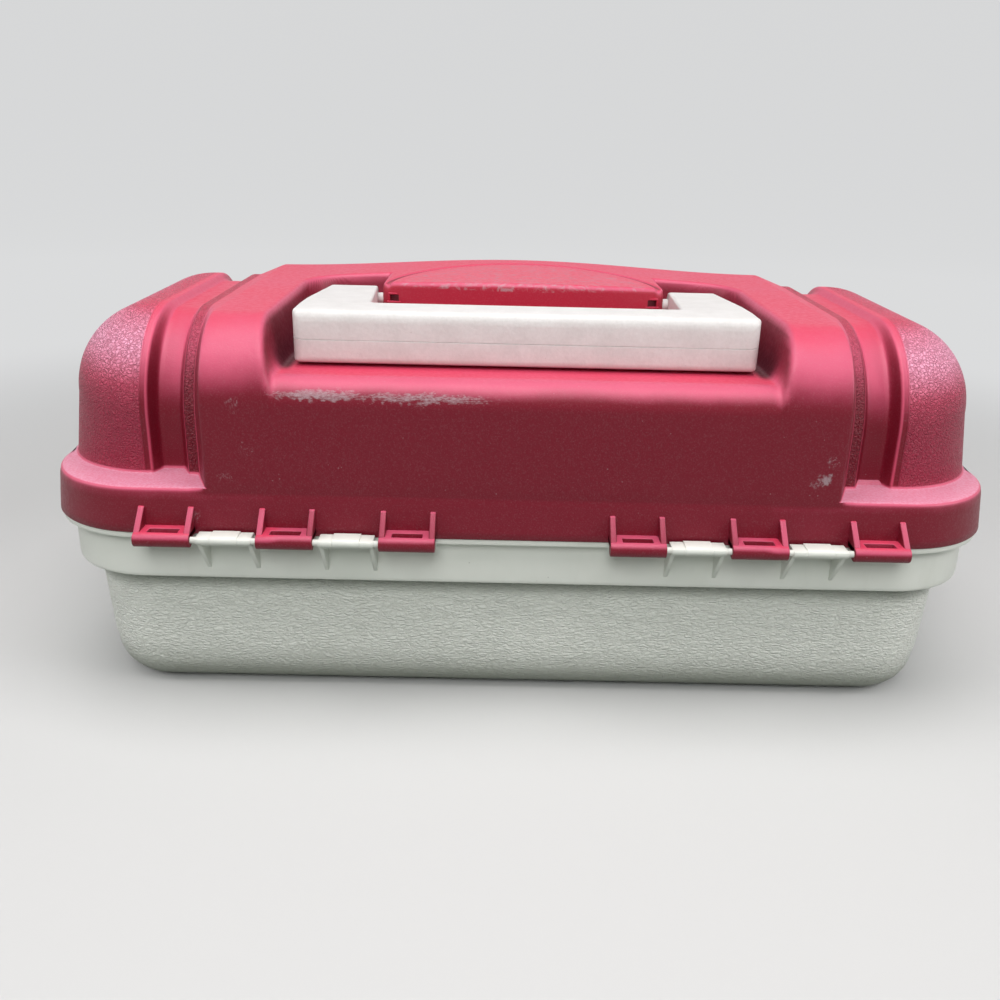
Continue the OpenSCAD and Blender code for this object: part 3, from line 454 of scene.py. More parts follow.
def gridMesh(columns, rows, place):
    mesh = bmesh.new()
    bmesh.ops.create_grid(mesh, x_segments=columns - 1, y_segments=rows - 1, size=1.0)
    for vert in mesh.verts:
        i = round((vert.co.x + 1) / 2 * (columns - 1))
        j = round((vert.co.y + 1) / 2 * (rows - 1))
        vert.co = Vector(place(i, j)) / 1000
    return mesh


def meshData(mesh, name):
    data = bpy.data.meshes.new(name)
    mesh.to_mesh(data)
    mesh.free()
    return data


def linked(name, data):
    obj = bpy.data.objects.new(name, data)
    bpy.context.collection.objects.link(obj)
    return obj


def toObject(mesh, name, material, body, smooth):
    obj = linked(name, meshData(mesh, name))
    obj.data.materials.append(material)
    obj.data.shade_smooth()
    obj.data.set_sharp_from_angle(angle=math.radians(smooth))
    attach(obj, body)
    return obj


def joinMeshes(meshes, weld=0):
    whole = bmesh.new()
    for mesh in meshes:
        data = meshData(mesh, "part")
        whole.from_mesh(data)
        bpy.data.meshes.remove(data)
    if weld:
        bmesh.ops.remove_doubles(whole, verts=whole.verts, dist=weld)
    return whole


lid = {
    "halfY": 115.5, "corner": 50.0, "rimZ": 91.0, "ledgeZ": 112.0, "skirtLean": 2.2,
    "edge": 2.2, "cornerX": 174.0, "domeY": 93.0, "domeTop": 183.5, "domeR": 46.5, "endLean": 4.3, "endR": 40.0,
    "endX": 176.2, "grooveY": 86.0, "grooveTop": 180.0, "stripY": 94.0, "stripTop": 183.0, "panelY": 113.6,
    "panelTop": 185.0, "panelR": 36.0, "crown": 5.6, "crownHalf": 145.0, "panelFace": 141.5, "panelFoot": 149.5,
    "stripFace": 154.0, "stripFoot": 158.0, "domeFoot": 168.6, "domeFace": 171.2, "soft": 0.9, "wall": 2.5,
    "footR": 1.5, "panelFootR": 2.0}
recess = {
    "floor": 162.0, "halfX": 112.0, "front": 30.0, "corner": 18.0, "slope": 4.8, "edge": 3.0, "foot": 2.6,
    "lip": 11.5, "bossX": 74.0, "bossRear": 15.0, "bow": 15.0, "bossEdge": 3.0, "bossSlope": 22.0,
    "bossCorner": 4.0, "reachX": 140.0, "nearY": -45.0, "lowest": 132.0}
badge = {"y": 9.5, "radius": 71.5, "half": 2.5, "deep": 1.6, "lowest": 184.0}


def crownTop(x):
    t = min(abs(x), lid["crownHalf"]) / lid["crownHalf"]
    return lid["panelTop"] + lid["crown"] * 0.5 * (1 + math.cos(math.pi * t))


def bossEdgeY(x):
    bow = recess["bow"]
    radius = (recess["bossX"] ** 2 + bow ** 2) / (2 * bow)
    t = min(abs(x), recess["bossX"])
    return recess["bossRear"] - radius + math.sqrt(radius ** 2 - t ** 2)


def halfStations():
    # Rows of the sheet from the rim to the middle of the top, each a zone and the way through it
    widest = 77.4
    flat = span(widest, 66.0, 5) + span(66.0, 38.5, 22) + span(38.5, 28.0, 14) + span(28.0, 2.0, 22)
    flat += [2.0, 1.5, 1.1, 0.8, 0.55, 0.35, 0.15, 0.0]
    steps = {"skirt": (0.0, 0.03, 0.2, 0.5, 0.8, 0.93), "edge": (0.0, 0.25, 0.5, 0.75),
             "ledge": (0.0, 0.3, 0.6, 0.85), "foot": (0.0, 0.5), "wall": span(0.0, 1.0, 6),
             "arc": span(0.0, 1.0, 26), "flat": [v / widest for v in flat]}
    return [(zone, t) for zone, ways in steps.items() for t in ways]


halfRows = halfStations()


def sectionPoint(station, body, i, x=0.0):
    # Depth and height of one row where the lid has the given body; i is the way in from the outer face
    zone, t = station
    a = t * quarterTurn
    panel = body == "panel"
    wallY, radius = lid[body + "Y"] - i, lid["panelR" if panel else "domeR"] - i
    top = (crownTop(x) if panel else lid[body + "Top"]) - i
    rimZ, ledgeZ, edge, footR = lid["rimZ"], lid["ledgeZ"], lid["edge"], lid["footR"]
    low, high = lid["halfY"] - i, lid["halfY"] - lid["skirtLean"] - i
    ledge = ledgeZ - i
    if zone == "skirt":
        t = t * (ledge - edge - rimZ) / (ledgeZ - rimZ)
        return (mixValue(low, high, t) - (0.5 if t < 0.01 else 0.0), rimZ + t * (ledgeZ - rimZ))
    if panel and zone in ("edge", "ledge", "foot"):
        # The panel stands out so far that its wall takes the place of the ledge
        base = {"edge": -edge + edge * t, "ledge": 0.1 + 0.4 * t, "foot": 0.6 + 0.8 * t}[zone]
        share = (base + edge) / (edge + lid["panelFootR"])
        return (mixValue(high + 0.1, wallY, min(max(share, 0), 1)), ledge + base)
    if zone == "edge":
        return (high - edge + edge * math.cos(a), ledge - edge + edge * math.sin(a))
    if zone == "ledge":
        return (mixValue(high - edge, wallY + footR, t), ledge)
    if zone == "foot":
        return (wallY + footR - footR * math.sin(a), ledge + footR - footR * math.cos(a))
    if zone == "wall":
        return (wallY, mixValue(ledge + (lid["panelFootR"] if panel else footR), top - radius, t))
    if zone == "arc":
        return (wallY - radius + radius * math.cos(a), top - radius + radius * math.sin(a))
    return ((wallY - radius) * t, top)


def mixPoints(start, stop, t):
    return [mixValue(a, b, t) for a, b in zip(start, stop)]


def lidSection(station, x, i):
    # The row at x, with the panel, the band, the groove and the dome run into each other
    x = abs(x)
    soft = lid["soft"] * (1 - 0.3 * i)
    if x < lid["panelFace"] - i - soft:
        return sectionPoint(station, "panel", i, x)
    point = sectionPoint(station, "groove", i)
    for body, face, foot in (("strip", "stripFace", "stripFoot"), ("panel", "panelFace", "panelFoot")):
        share = smoothRamp(x, lid[face] - i, lid[foot] - i, soft)
        if share < 1:
            point = mixPoints(sectionPoint(station, body, i, x), point, share)
    share = smoothRamp(x, lid["domeFoot"] + i, lid["domeFace"] + i, soft)
    return mixPoints(point, sectionPoint(station, "dome", i), share) if share > 0 else point


def roundedTop(u, top, floor, slope, radius, foot=0.0):
    # Height at the distance u up a slope that is rounded into its top and its foot
    rise = top - floor
    if rise <= 0:
        return top
    radius = min(radius, 0.7 * rise)
    turn = math.atan(slope)
    tangent = radius * math.tan(turn / 2)
    d = u - rise / slope
    if d >= tangent:
        return top
    if d > -tangent * math.cos(turn):
        return top - radius + math.sqrt(max(radius ** 2 - (tangent - d) ** 2, 0))
    if abs(u) < foot:
        return floor + (u + foot) ** 2 / (4 * foot) * slope
    return floor + max(u, 0) * slope


def recessHeight(x, y, top, i):
    floor = recess["floor"] - i
    lipY = lid["panelY"] - i - recess["lip"]
    if y > lipY:
        run = min(y - lipY, recess["lip"])
        floor -= recess["lip"] - math.sqrt(max(recess["lip"] ** 2 - run ** 2, 0))
    if top <= floor:
        return top
    corner = recess["corner"] + i
    a = abs(x) - (recess["halfX"] + i - corner)
    b = -y - (recess["front"] + i - corner)
    outside = (math.hypot(a, b) if a > 0 and b > 0 else max(a, b)) - corner
    height = roundedTop(outside, top, floor, recess["slope"], recess["edge"], recess["foot"])
    if outside > 0 and height >= top:
        return top
    c = recess["bossX"] - i - abs(x)
    d = bossEdgeY(x) - i - y
    corner = recess["bossCorner"]
    within = corner - math.hypot(corner - c, corner - d) if c < corner and d < corner else min(c, d)
    slope = recess["bossSlope"]
    boss = roundedTop(within + (top - floor) / slope, top, floor, slope, recess["bossEdge"])
    return max(height, boss)


def lidPoint(x, station, side, i):
    y, z = lidSection(station, x, i)
    y *= side
    if abs(x) < recess["reachX"] and y > recess["nearY"] and z > recess["lowest"]:
        if station[0] == "flat":
            fade = smoothRamp(y, -28, -4, 4) * (1 - smoothRamp(y, 10, 60, 4))
            y += bossEdgeY(x) * fade
        z = recessHeight(x, y, z, i)
    if i == 0 and z > badge["lowest"]:
        ring = abs(math.hypot(x, y - badge["y"]) - badge["radius"]) / badge["half"]
        if ring < 1:
            z -= badge["deep"] * (0.5 + 0.5 * math.cos(math.pi * ring))
    return (x, y, z)


def lidColumns(fine):
    # Places across the lid, close together where its outside bends; the inside needs fewer
    if fine:
        half = span(0, 60, 52) + span(60, 73, 15)
        half += [73.0, 73.4, 73.7, 73.9, 74.1, 74.35, 74.7, 75.2, 76.0, 77.5]
        half += span(79, 92, 8) + span(92, 122, 30) + span(122, 139, 6)
        half += [140.4, 141.0, 141.5, 142.0, 142.6, 144.5, 147.5, 148.8, 149.3, 149.8, 150.5, 152.0, 153.2,
                 153.7, 154.2, 154.8, 156.0, 157.2, 157.8, 158.4, 159.1, 162.0, 165.5, 167.8, 168.3, 168.8,
                 169.4, 170.2, 170.9, 171.4, 172.1, 174.0]
    else:
        half = span(0, 70, 12)
        half += [71.0, 71.5, 72.0, 80, 90, 100, 106, 110, 114, 118, 121, 126, 133, 138.2, 139.8, 146.2, 147.8,
                 150.6, 152.2, 154.8, 156.4, 163, 170.4, 171.8, 173, 174.0]
    return [-v for v in reversed(half[1:])] + half


def capPoint(station, column, side, i):
    # Point of the rounded end of the lid, on the side given
    y, z = sectionPoint(station, "dome", i)
    zone, t = station
    share = t if zone == "ledge" else float(zone not in ("skirt", "edge"))
    cornerY = mixValue(lid["halfY"] - lid["corner"], lid["domeY"] - lid["domeR"], share)
    reach = reachX = y - cornerY
    if zone == "wall":
        reachX -= lid["endLean"] * t
    elif zone == "arc":
        reachX = lid["endX"] - lid["cornerX"] + (lid["endR"] - i) * math.cos(t * quarterTurn)
    elif zone == "flat":
        reachX, reach, cornerY = lid["endX"] - lid["cornerX"], 0.0, y
    kind, s = column
    turned, straight = math.sin(s * quarterTurn), math.cos(s * quarterTurn)
    toEnd = {"corner": turned, "end": 1.0, "far": straight}[kind]
    if zone in ("wall", "arc"):
        drop = (lid["domeR"] - lid["endR"]) * toEnd ** 2
        z += drop * (t if zone == "wall" else 1 - math.sin(t * quarterTurn))
    y = {"corner": cornerY + reach * straight, "end": cornerY * s, "far": -cornerY - reach * turned}[kind]
    return (side * (lid["cornerX"] + reachX * toEnd), y, z)


def lidSheet(fine, i):
    rows = halfRows if fine else [r for k, r in enumerate(halfRows) if r[0] not in ("arc", "flat") or k % 4 == 0
                                  or r[1] in (0.0, 1.0)]
    both = [(r, 1) for r in rows] + [(r, -1) for r in reversed(rows[:-1])]
    columns = lidColumns(fine)
    sheets = [gridMesh(len(columns), len(both), lambda c, r: lidPoint(columns[c], both[r][0], both[r][1], i))]
    turn = 20 if fine else 8
    ends = [("corner", k / turn) for k in range(turn + 1)] + [("end", 1 - 2 * k / 10) for k in range(1, 10)]
    ends += [("far", k / turn) for k in range(turn + 1)]
    for side in (1, -1):
        sheets.append(gridMesh(len(ends), len(rows), lambda c, r, s=side: capPoint(rows[r], ends[c], s, i)))
    sheet = joinMeshes(sheets, 0.00002)
    bmesh.ops.dissolve_degenerate(sheet, edges=sheet.edges, dist=0.000005)
    bmesh.ops.recalc_face_normals(sheet, faces=sheet.faces)
    top = max(sheet.faces, key=lambda f: f.calc_center_median().z)
    if (top.normal.z > 0) != (i == 0):
        bmesh.ops.reverse_faces(sheet, faces=sheet.faces)
    return sheet


def makeLid():
    outer = lidSheet(True, 0.0)
    inner = lidSheet(False, lid["wall"])
    shell = joinMeshes([outer, inner])
    rim = [e for e in shell.edges if e.is_boundary]
    bmesh.ops.bridge_loops(shell, edges=rim)
    return toObject(shell, "lidShell", redPlastic, "lid", 50.0)


lidShell = makeLid()
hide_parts("lid_shell")
print("lid made")


def boxMesh(low, high):
    mesh = bmesh.new()
    bmesh.ops.create_cube(mesh, size=1.0)
    for vert in mesh.verts:
        vert.co = Vector([mixValue(low[k], high[k], vert.co[k] + 0.5) / 1000 for k in range(3)])
    return mesh


def newVerts(grown):
    return [g for g in grown["geom"] if isinstance(g, bmesh.types.BMVert)]


def drawnOut(outline, way):
    # A closed outline drawn out along a vector, in millimetres
    mesh = bmesh.new()
    face = mesh.faces.new([mesh.verts.new([c / 1000 for c in point]) for point in outline])
    grown = bmesh.ops.extrude_face_region(mesh, geom=[face])
    bmesh.ops.translate(mesh, verts=newVerts(grown), vec=[c / 1000 for c in way])
    bmesh.ops.recalc_face_normals(mesh, faces=mesh.faces)
    return mesh


def plateMesh(outline, start, stop):
    return drawnOut([(start, y, z) for y, z in outline], (stop - start, 0, 0))


def cutAcross(mesh, axis, places):
    # A ring of edges round the mesh at each place along the axis
    for place in places:
        point, way = [0, 0, 0], [0, 0, 0]
        point[axis], way[axis] = place / 1000, 1
        bmesh.ops.bisect_plane(mesh, geom=mesh.verts[:] + mesh.edges[:] + mesh.faces[:],
                               plane_co=point, plane_no=way)


def rodMesh(start, stop, y, z, radius, sides=32):
    mesh = bmesh.new()
    turn = Matrix.Rotation(quarterTurn, 4, "Y")
    bmesh.ops.create_cone(mesh, cap_ends=True, segments=sides, radius1=radius / 1000, radius2=radius / 1000,
                          depth=(stop - start) / 1000, matrix=turn)
    bmesh.ops.translate(mesh, verts=mesh.verts, vec=((start + stop) / 2000, y / 1000, z / 1000))
    return mesh


def softEdges(mesh, width, segments=2, angle=30.0, keep=None):
    edges = [e for e in mesh.edges if e.is_manifold and e.calc_face_angle(0) > math.radians(angle)
             and (keep is None or keep(e))]
    bmesh.ops.bevel(mesh, geom=edges, offset=width / 1000, offset_type="OFFSET", segments=segments, profile=0.5,
                    affect="EDGES", material=-1, clamp_overlap=True)
    return mesh


def sideRods(near, far, y, z, radius, edge, sides=36):
    # The same rod with soft ends on the right and on the left
    parts = []
    for side in (1, -1):
        low, high = sorted((side * near, side * far))
        parts.append(softEdges(rodMesh(low, high, y, z, radius, sides), edge, 2, 60.0))
    return parts


armPosts = {
    "near": 195.8, "radius": 5.5, "edge": 0.5, "lid": ((70.0, 146.0, 205.3), (47.0, 160.5, 206.8)),
    "tub": ((30.0, 84.5, 217.0),)}


def postsOf(places):
    return [post for y, z, far in places
            for post in sideRods(armPosts["near"], far, y, z, armPosts["radius"], armPosts["edge"])]


hinge = {
    "y": 123.5, "z": 91.5, "lidWidth": 25.0, "lidR": 3.4, "plate": 3.0, "rib": 2.8, "ribTop": 103.5,
    "ribOut": 115.5, "root": 112.6, "window": 13.6, "windowFar": 118.5, "windowNear": 123.3, "windowDeep": 3.4,
    "baseWidth": 24.5, "baseR": 2.0, "pinR": 1.5, "pitch": 54.1, "first": 51.3, "padY": 116.7, "bandY": 109.3,
    "gussetZ": 72.0, "gusset": 2.0}
lidKnuckleX = [hinge["first"] + k * hinge["pitch"] for k in range(3)]
baseKnuckleX = [hinge["first"] + (k + 0.5) * hinge["pitch"] for k in range(2)]


def noseOutline(y, z, radius, start, stop, steps=10):
    angles = [math.radians(mixValue(start, stop, k / steps)) for k in range(steps + 1)]
    return [(y + radius * math.cos(a), z + radius * math.sin(a)) for a in angles]


def lidKnuckle(x):
    h = hinge
    half = h["lidWidth"] / 2
    y, z, r = h["y"], h["z"], h["lidR"]
    root, low = h["root"], z + r - h["plate"]
    nose = noseOutline(y, z, r, 90, -172, 18)
    outline = [(root, z + r), (h["windowFar"], z + r), (h["windowNear"], z + r)] + nose[1:]
    outline += [(y - r, low), (root, low)]
    body = plateMesh(outline, x - half, x + half)
    cutAcross(body, 0, (x - h["window"] / 2, x + h["window"] / 2))
    top = [f for f in body.faces if f.normal.z > 0.95 and abs(f.calc_center_median().x * 1000 - x) < 5
           and h["windowFar"] < f.calc_center_median().y * 1000 < h["windowNear"]]
    sunk = bmesh.ops.extrude_face_region(body, geom=top)
    bmesh.ops.delete(body, geom=top, context="FACES_ONLY")
    bmesh.ops.translate(body, verts=newVerts(sunk), vec=(0, 0, -h["windowDeep"] / 1000))
    bmesh.ops.recalc_face_normals(body, faces=body.faces)
    softEdges(body, 0.45, 2, 40.0, lambda e: min(v.co.y for v in e.verts) * 1000 > root + 0.5)
    parts = [body]
    out, top = h["ribOut"], h["ribTop"]
    for side in (x - half, x + half - h["rib"]):
        rib = plateMesh([(root, low), (y, low), (y + 1.2, z + 2.2), (y + 0.6, z + r), (out + 0.3, top - 0.9),
                         (out - 0.4, top), (root, top + 0.6)], side, side + h["rib"])
        parts.append(softEdges(rib, 0.6, 3, 25.0))
    return parts


latchEar = {"y": -119.7, "z": 103.0, "r": 3.6, "half": 1.5, "root": -112.4, "middle": 105.0, "apart": 19.8}


def latchEars():
    e = latchEar
    outline = noseOutline(e["y"], e["z"], e["r"], 270, 90, 14)
    outline += [(e["root"], e["z"] + e["r"]), (e["root"], e["z"] - e["r"])]
    places = [middle + side * e["apart"] for middle in (-e["middle"], e["middle"]) for side in (-1, 1)]
    return [softEdges(plateMesh(outline, x - e["half"], x + e["half"]), 0.5, 2, 40.0) for x in places]


keeper = {
    "x": 67.5, "wide": 6.6, "plateZ": 178.6, "slotTop": 181.8, "frame": 0.9, "out": 0.9, "sunk": 2.0,
    "plateWider": 0.6, "overlap": 0.2, "edge": 0.25}


def bossKeepers():
    # A small slotted frame over a lip plate, low on the boss face at each near corner
    parts = []
    k = keeper
    for side in (1, -1):
        middle = side * k["x"]
        face = bossEdgeY(middle)
        left, right = middle - k["wide"] / 2, middle + k["wide"] / 2
        back, front = face - k["sunk"], face + k["out"]
        plate = boxMesh((left - k["plateWider"], back, k["plateZ"] - k["frame"]),
                        (right + k["plateWider"], front + k["out"], k["plateZ"]))
        top = boxMesh((left, back, k["slotTop"]), (right, front, k["slotTop"] + k["frame"]))
        low, high = k["plateZ"] - k["overlap"], k["slotTop"] + k["overlap"]
        sides = [boxMesh((x, back, low), (x + k["frame"], front, high)) for x in (left, right - k["frame"])]
        parts += [softEdges(m, k["edge"]) for m in [plate, top] + sides]
    return parts


def makeKnuckles():
    knuckles = [part for x in lidKnuckleX for part in lidKnuckle(x) + lidKnuckle(-x)]
    rest = latchEars() + postsOf(armPosts["lid"]) + bossKeepers()
    for parts, name in ((knuckles, "lidKnuckles"), (rest, "lidEarsAndPosts")):
        obj = toObject(joinMeshes(parts), name, redPlastic, "lid", 35.0)
        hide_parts("lid_shell")


makeKnuckles()
print("lid knuckles, ears and posts made")


tub = {
    "bandX": 217.8, "bandY": 109.3, "bandR": 43.8, "bandZ": 66.5, "tubX": 209.0, "draft": 3.2, "edgeR": 20.0,
    "floor": 3.0, "wall": 2.5, "outX": 224.0, "lipIn": 1.0, "tongueIn": 5.7, "tongueT": 2.0, "turn": 14,
    "straight": 12}


def ringPoints(halfX, halfY, radius, z):
    # One rounded rectangle of the tub at height z, always with the same number of points
    def turned(quarter, a):
        middleX = (halfX - radius) * (1, -1, -1, 1)[quarter % 4]
        middleY = (halfY - radius) * (1, 1, -1, -1)[quarter % 4]
        return (middleX + radius * math.cos(a), middleY + radius * math.sin(a), z)

    points = []
    for quarter in range(4):
        points += [turned(quarter, quarterTurn * (quarter + k / tub["turn"])) for k in range(tub["turn"] + 1)]
        start, stop = points[-1], turned(quarter + 1, quarterTurn * (quarter + 1))
        for k in range(1, tub["straight"]):
            points.append(mixPoints(start, stop, k / tub["straight"]))
    return points


def tubRing(inset, z):
    # Ring whose wall stands inset inside the band
    return ringPoints(tub["bandX"] - inset, tub["bandY"] - inset, tub["bandR"] - inset, z)


def tubRings():
    edge, draft, inner, bandZ = (tub[k] for k in ("edgeR", "draft", "wall", "bandZ"))
    band = tub["bandX"] - tub["tubX"]
    # Outside: bottom edge, leaning wall, underside of the band, band, lip and tongue
    pairs = [(band + draft + edge - (edge - 0.6) * math.sin(a), edge - edge * math.cos(a))
             for a in (quarterTurn * k / 8 for k in range(9))]
    pairs += [(band + draft * (1 - t), mixValue(edge, bandZ + 1, t))
              for t in (0.08, 0.25, 0.45, 0.65, 0.85, 0.97)]
    pairs += [(band - 0.1, bandZ - 0.5), (band - 0.7, bandZ + 0.05), (band / 2, bandZ), (1.6, bandZ),
              (0.5, bandZ + 0.35), (0.12, bandZ + 1.1), (0.0, bandZ + 2), (0.0, 72), (0.0, 78), (0.0, 84),
              (0.0, 87.3), (-0.25, 87.8), (-0.7, 88.0)]
    lip = tub["bandX"] - (tub["outX"] - tub["lipIn"])
    pairs += [(lip + 0.8, 88.0), (lip + 0.2, 88.25), (lip, 88.8), (lip, 90.4), (lip + 0.2, 90.85),
              (lip + 0.7, 91.0)]
    out = tub["bandX"] - (tub["outX"] - tub["tongueIn"])
    back = out + tub["tongueT"]
    pairs += [(out - 0.6, 91.0), (out, 91.5), (out, 95.4), (out + 0.5, 95.95), (back - 0.5, 95.95),
              (back, 95.4)]
    # Inside: down the tongue, the band and the tub to the floor
    pairs += [(back, 91.5), (back, 90.6), (inner - 0.2, 90.5), (inner, 90.3), (inner, 80), (inner, 70),
              (inner + 0.4, 69.1), (band + inner - 0.4, 69.0), (band + inner, 68.4)]
    pairs += [(band + inner + draft * (1 - t), mixValue(edge + 1, bandZ, t)) for t in (0.97, 0.7, 0.4, 0.1)]
    r = edge - inner
    pairs += [(band + inner + draft + r - r * math.sin(a), tub["floor"] + r - r * math.cos(a))
              for a in (quarterTurn * (1 - k / 6) for k in range(7))]
    return [tubRing(*pair) for pair in pairs]


def ringSheet(rings):
    count = len(rings[0])
    mesh = gridMesh(len(rings), count + 1, lambda i, j: rings[i][j % count])
    bmesh.ops.remove_doubles(mesh, verts=mesh.verts, dist=0.000002)
    caps = [e for e in mesh.edges if e.is_boundary]
    bmesh.ops.holes_fill(mesh, edges=caps, sides=0)
    bmesh.ops.recalc_face_normals(mesh, faces=mesh.faces)
    return mesh


def baseKnuckle(x):
    h = hinge
    half = h["baseWidth"] / 2
    y, z, r = h["y"], h["z"], h["baseR"]
    low, pad, band = z - r, h["padY"], h["bandY"]
    reach = half + 7.3
    nose = noseOutline(y, z, r, 90, -150, 12)
    level = z + h["pinR"]
    parts = []
    cuts = (x - half, x - half / 2, x + half / 2, x + half)
    for start, stop, top in zip(cuts, cuts[1:], (level, z + r, level)):
        body = [p for p in nose if p[1] < top - 0.05]
        outline = [(pad, top), (y + 0.6, top)] + body + [(y - r, low - 0.2), (pad, low)]
        parts.append(plateMesh(outline, start, stop))
    parts.append(rodMesh(x - reach, x + reach, y, z, h["pinR"], 24))
    slab = boxMesh((x - half, band - 1, 88.0), (x + half, y - 1.6, 90.7))
    parts.append(softEdges(slab, 0.3, 2))
    for side in (x - half, x + half - h["gusset"]):
        gusset = plateMesh([(band - 1, h["gussetZ"]), (band + 0.2, h["gussetZ"]), (y - 0.3, z - r + 0.1),
                            (y - 1.8, z - r + 0.6), (band - 1, 88.2)], side, side + h["gusset"])
        parts.append(softEdges(gusset, 0.4, 2, 25.0))
    return [softEdges(p, 0.35, 2, 50.0) if k < 3 else p for k, p in enumerate(parts)]


def makeBase():
    parts = [part for x in baseKnuckleX for part in baseKnuckle(x) + baseKnuckle(-x)]
    parts += postsOf(armPosts["tub"])
    for mesh, name in ((ringSheet(tubRings()), "tubShell"), (joinMeshes(parts), "tubKnuckles")):
        obj = toObject(mesh, name, greyPlastic, "base", 35.0)
        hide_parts("base_tub")


makeBase()
print("base made")


grip = {
    "half": 105.5, "armHalf": 101.5, "armIn": 77.5, "gripIn": 73.0, "rear": 85.0, "front": 60.0, "top": 187.5,
    "low": 163.5, "pivotY": -5.0, "pivotZ": 178.5, "armR": 6.5, "corner": 4.2, "round": 6.0, "rearTop": 4.6,
    "rearLow": 1.8, "edge": 1.6, "pinR": 3.0, "pinIn": 66.5, "cut": 2.5, "seamDeep": 0.55, "thick": 24.0,
    "rows": [-11.2, -10, -8.5, -7, -5, -2] + [8 + 10 * k for k in range(6)]
        + [60.4, 61.5, 63, 64.5, 66, 80.4, 81.6, 82.6, 83.3, 83.9, 84.3, 84.6],
    "seamRows": (11.72, 11.9, 12.1, 12.28)}


def handleOutline():
    # Half of the handle's plan, from the middle of its rear edge round to the middle of its front edge
    g = grip
    r, x, y = g["corner"], g["half"] - g["corner"], g["rear"] - g["corner"]
    outline = [(0.0, g["rear"]), (x, g["rear"])]
    outline += [(x + r * math.sin(a), y + r * math.cos(a)) for a in (quarterTurn * k / 8 for k in range(1, 8))]
    outline += [(g["half"], y), (g["half"], g["front"] - 14)]
    foot = g["pivotY"] - g["armR"]
    outline += [(g["armHalf"], foot), (g["armIn"], foot), (g["gripIn"], g["front"] - g["cut"]),
                (g["gripIn"] - g["cut"], g["front"]), (0.0, g["front"])]
    return outline


def handleSpan(y):
    # Underside and top of the handle at the depth y
    g = grip
    start, stop = g["pivotY"], g["front"] + g["round"]
    if y <= start:
        rise = math.sqrt(max(g["armR"] ** 2 - (start - y) ** 2, 0.04))
        return (g["pivotZ"] - rise, g["pivotZ"] + rise)
    t = min((y - start) / (stop - start), 1.0)
    low = mixValue(g["pivotZ"] - g["armR"], g["low"] + 2.5, t)
    top = mixValue(g["pivotZ"] + g["armR"], g["top"], t)
    if y > g["front"]:
        low = mixValue(low, g["low"], smoothRamp(y, g["front"], stop, 1.5))
    for radius, sign in ((g["rearTop"], -1), (g["rearLow"], 1)):
        past = y - (g["rear"] - radius)
        if past > 0:
            drop = radius - math.sqrt(max(radius ** 2 - past ** 2, 0))
            low, top = (low + drop, top) if sign > 0 else (low, top - drop)
    return (low, top)


def makeHandle():
    half = handleOutline()
    outline = half + [(-x, y) for x, y in reversed(half[1:-1])]
    mesh = drawnOut([(x, y, 0) for x, y in outline], (0, 0, grip["thick"]))
    edges = [e for e in mesh.edges if abs(e.verts[0].co.z - e.verts[1].co.z) < 1e-6]
    bmesh.ops.bevel(mesh, geom=edges, offset=grip["edge"] / 1000, offset_type="OFFSET", segments=4, profile=0.5,
                    affect="EDGES", material=-1, clamp_overlap=True)
    cutAcross(mesh, 1, grip["rows"])
    cutAcross(mesh, 2, grip["seamRows"])
    # The parting groove runs round the middle
    seam = [(v, v.normal.copy()) for v in mesh.verts if abs(v.co.z * 1000 - grip["thick"] / 2) < 0.15]
    for vert, out in seam:
        vert.co -= Vector((out.x, out.y, 0)).normalized() * grip["seamDeep"] / 1000
    for vert in mesh.verts:
        low, top = handleSpan(vert.co.y * 1000)
        vert.co.z = mixValue(low, top, vert.co.z * 1000 / grip["thick"]) / 1000
    mesh.normal_update()
    pins = sideRods(grip["pinIn"], grip["armIn"] + 1, grip["pivotY"], grip["pivotZ"], grip["pinR"], 0.3, 32)
    obj = toObject(joinMeshes([mesh] + pins), "handleBody", whitePlastic, "handle", 35.0)
    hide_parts("handle")


makeHandle()
print("handle made")


latch = {
    "y": -119.7, "z": 103.0, "barrel": 3.6, "thick": 2.4, "long": 31.0, "half": 18.0, "rest": 9.0,
    "hookTop": 87.7, "hookH": 3.0, "bite": 1.5, "lip": 114.5, "x": 105.0}


def latchOutline():
    # Side view of the snapped latch about its pin, as (y, z) from the pin
    face, thick, long = -latch["barrel"], latch["thick"], latch["long"]
    hookY = -(latch["lip"] - latch["bite"]) - latch["y"]
    hookZ = latch["hookTop"] - latch["z"]
    h = latch["hookH"]
    back = face + thick
    return noseOutline(0, 0, latch["barrel"], -48, 180, 24) + [
        (face, 2 * h - long), (face - h, -long), (face - h, -long - h / 2), (face, -long), (back, -long),
        (back, hookZ - h + 0.6), (hookY, hookZ - h / 2), (hookY, hookZ), (back, hookZ)]


def makeLatch(name, x, body):
    # Drawn snapped shut about its pin, then swung out to where it rests
    mesh = softEdges(plateMesh(latchOutline(), x - latch["half"], x + latch["half"]), 0.5, 3, 35.0)
    turn = Matrix.Rotation(math.radians(-latch["rest"]), 4, "X")
    bmesh.ops.transform(mesh, matrix=turn, verts=mesh.verts)
    bmesh.ops.translate(mesh, verts=mesh.verts, vec=(0, latch["y"] / 1000, latch["z"] / 1000))
    obj = toObject(mesh, name, whitePlastic, body, 30.0)
    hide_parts(body)


makeLatch("leftLatchPlate", -latch["x"], "left_latch")
makeLatch("rightLatchPlate", latch["x"], "right_latch")
print("latches made")


cameraView = {
    "place": (0.013304, 0.53087, 0.267348), "yaw": 0.396, "down": 20.672, "roll": 1.397, "focal": 36.0,
    "sensor": 36.0, "clip": (0.01, 50)}


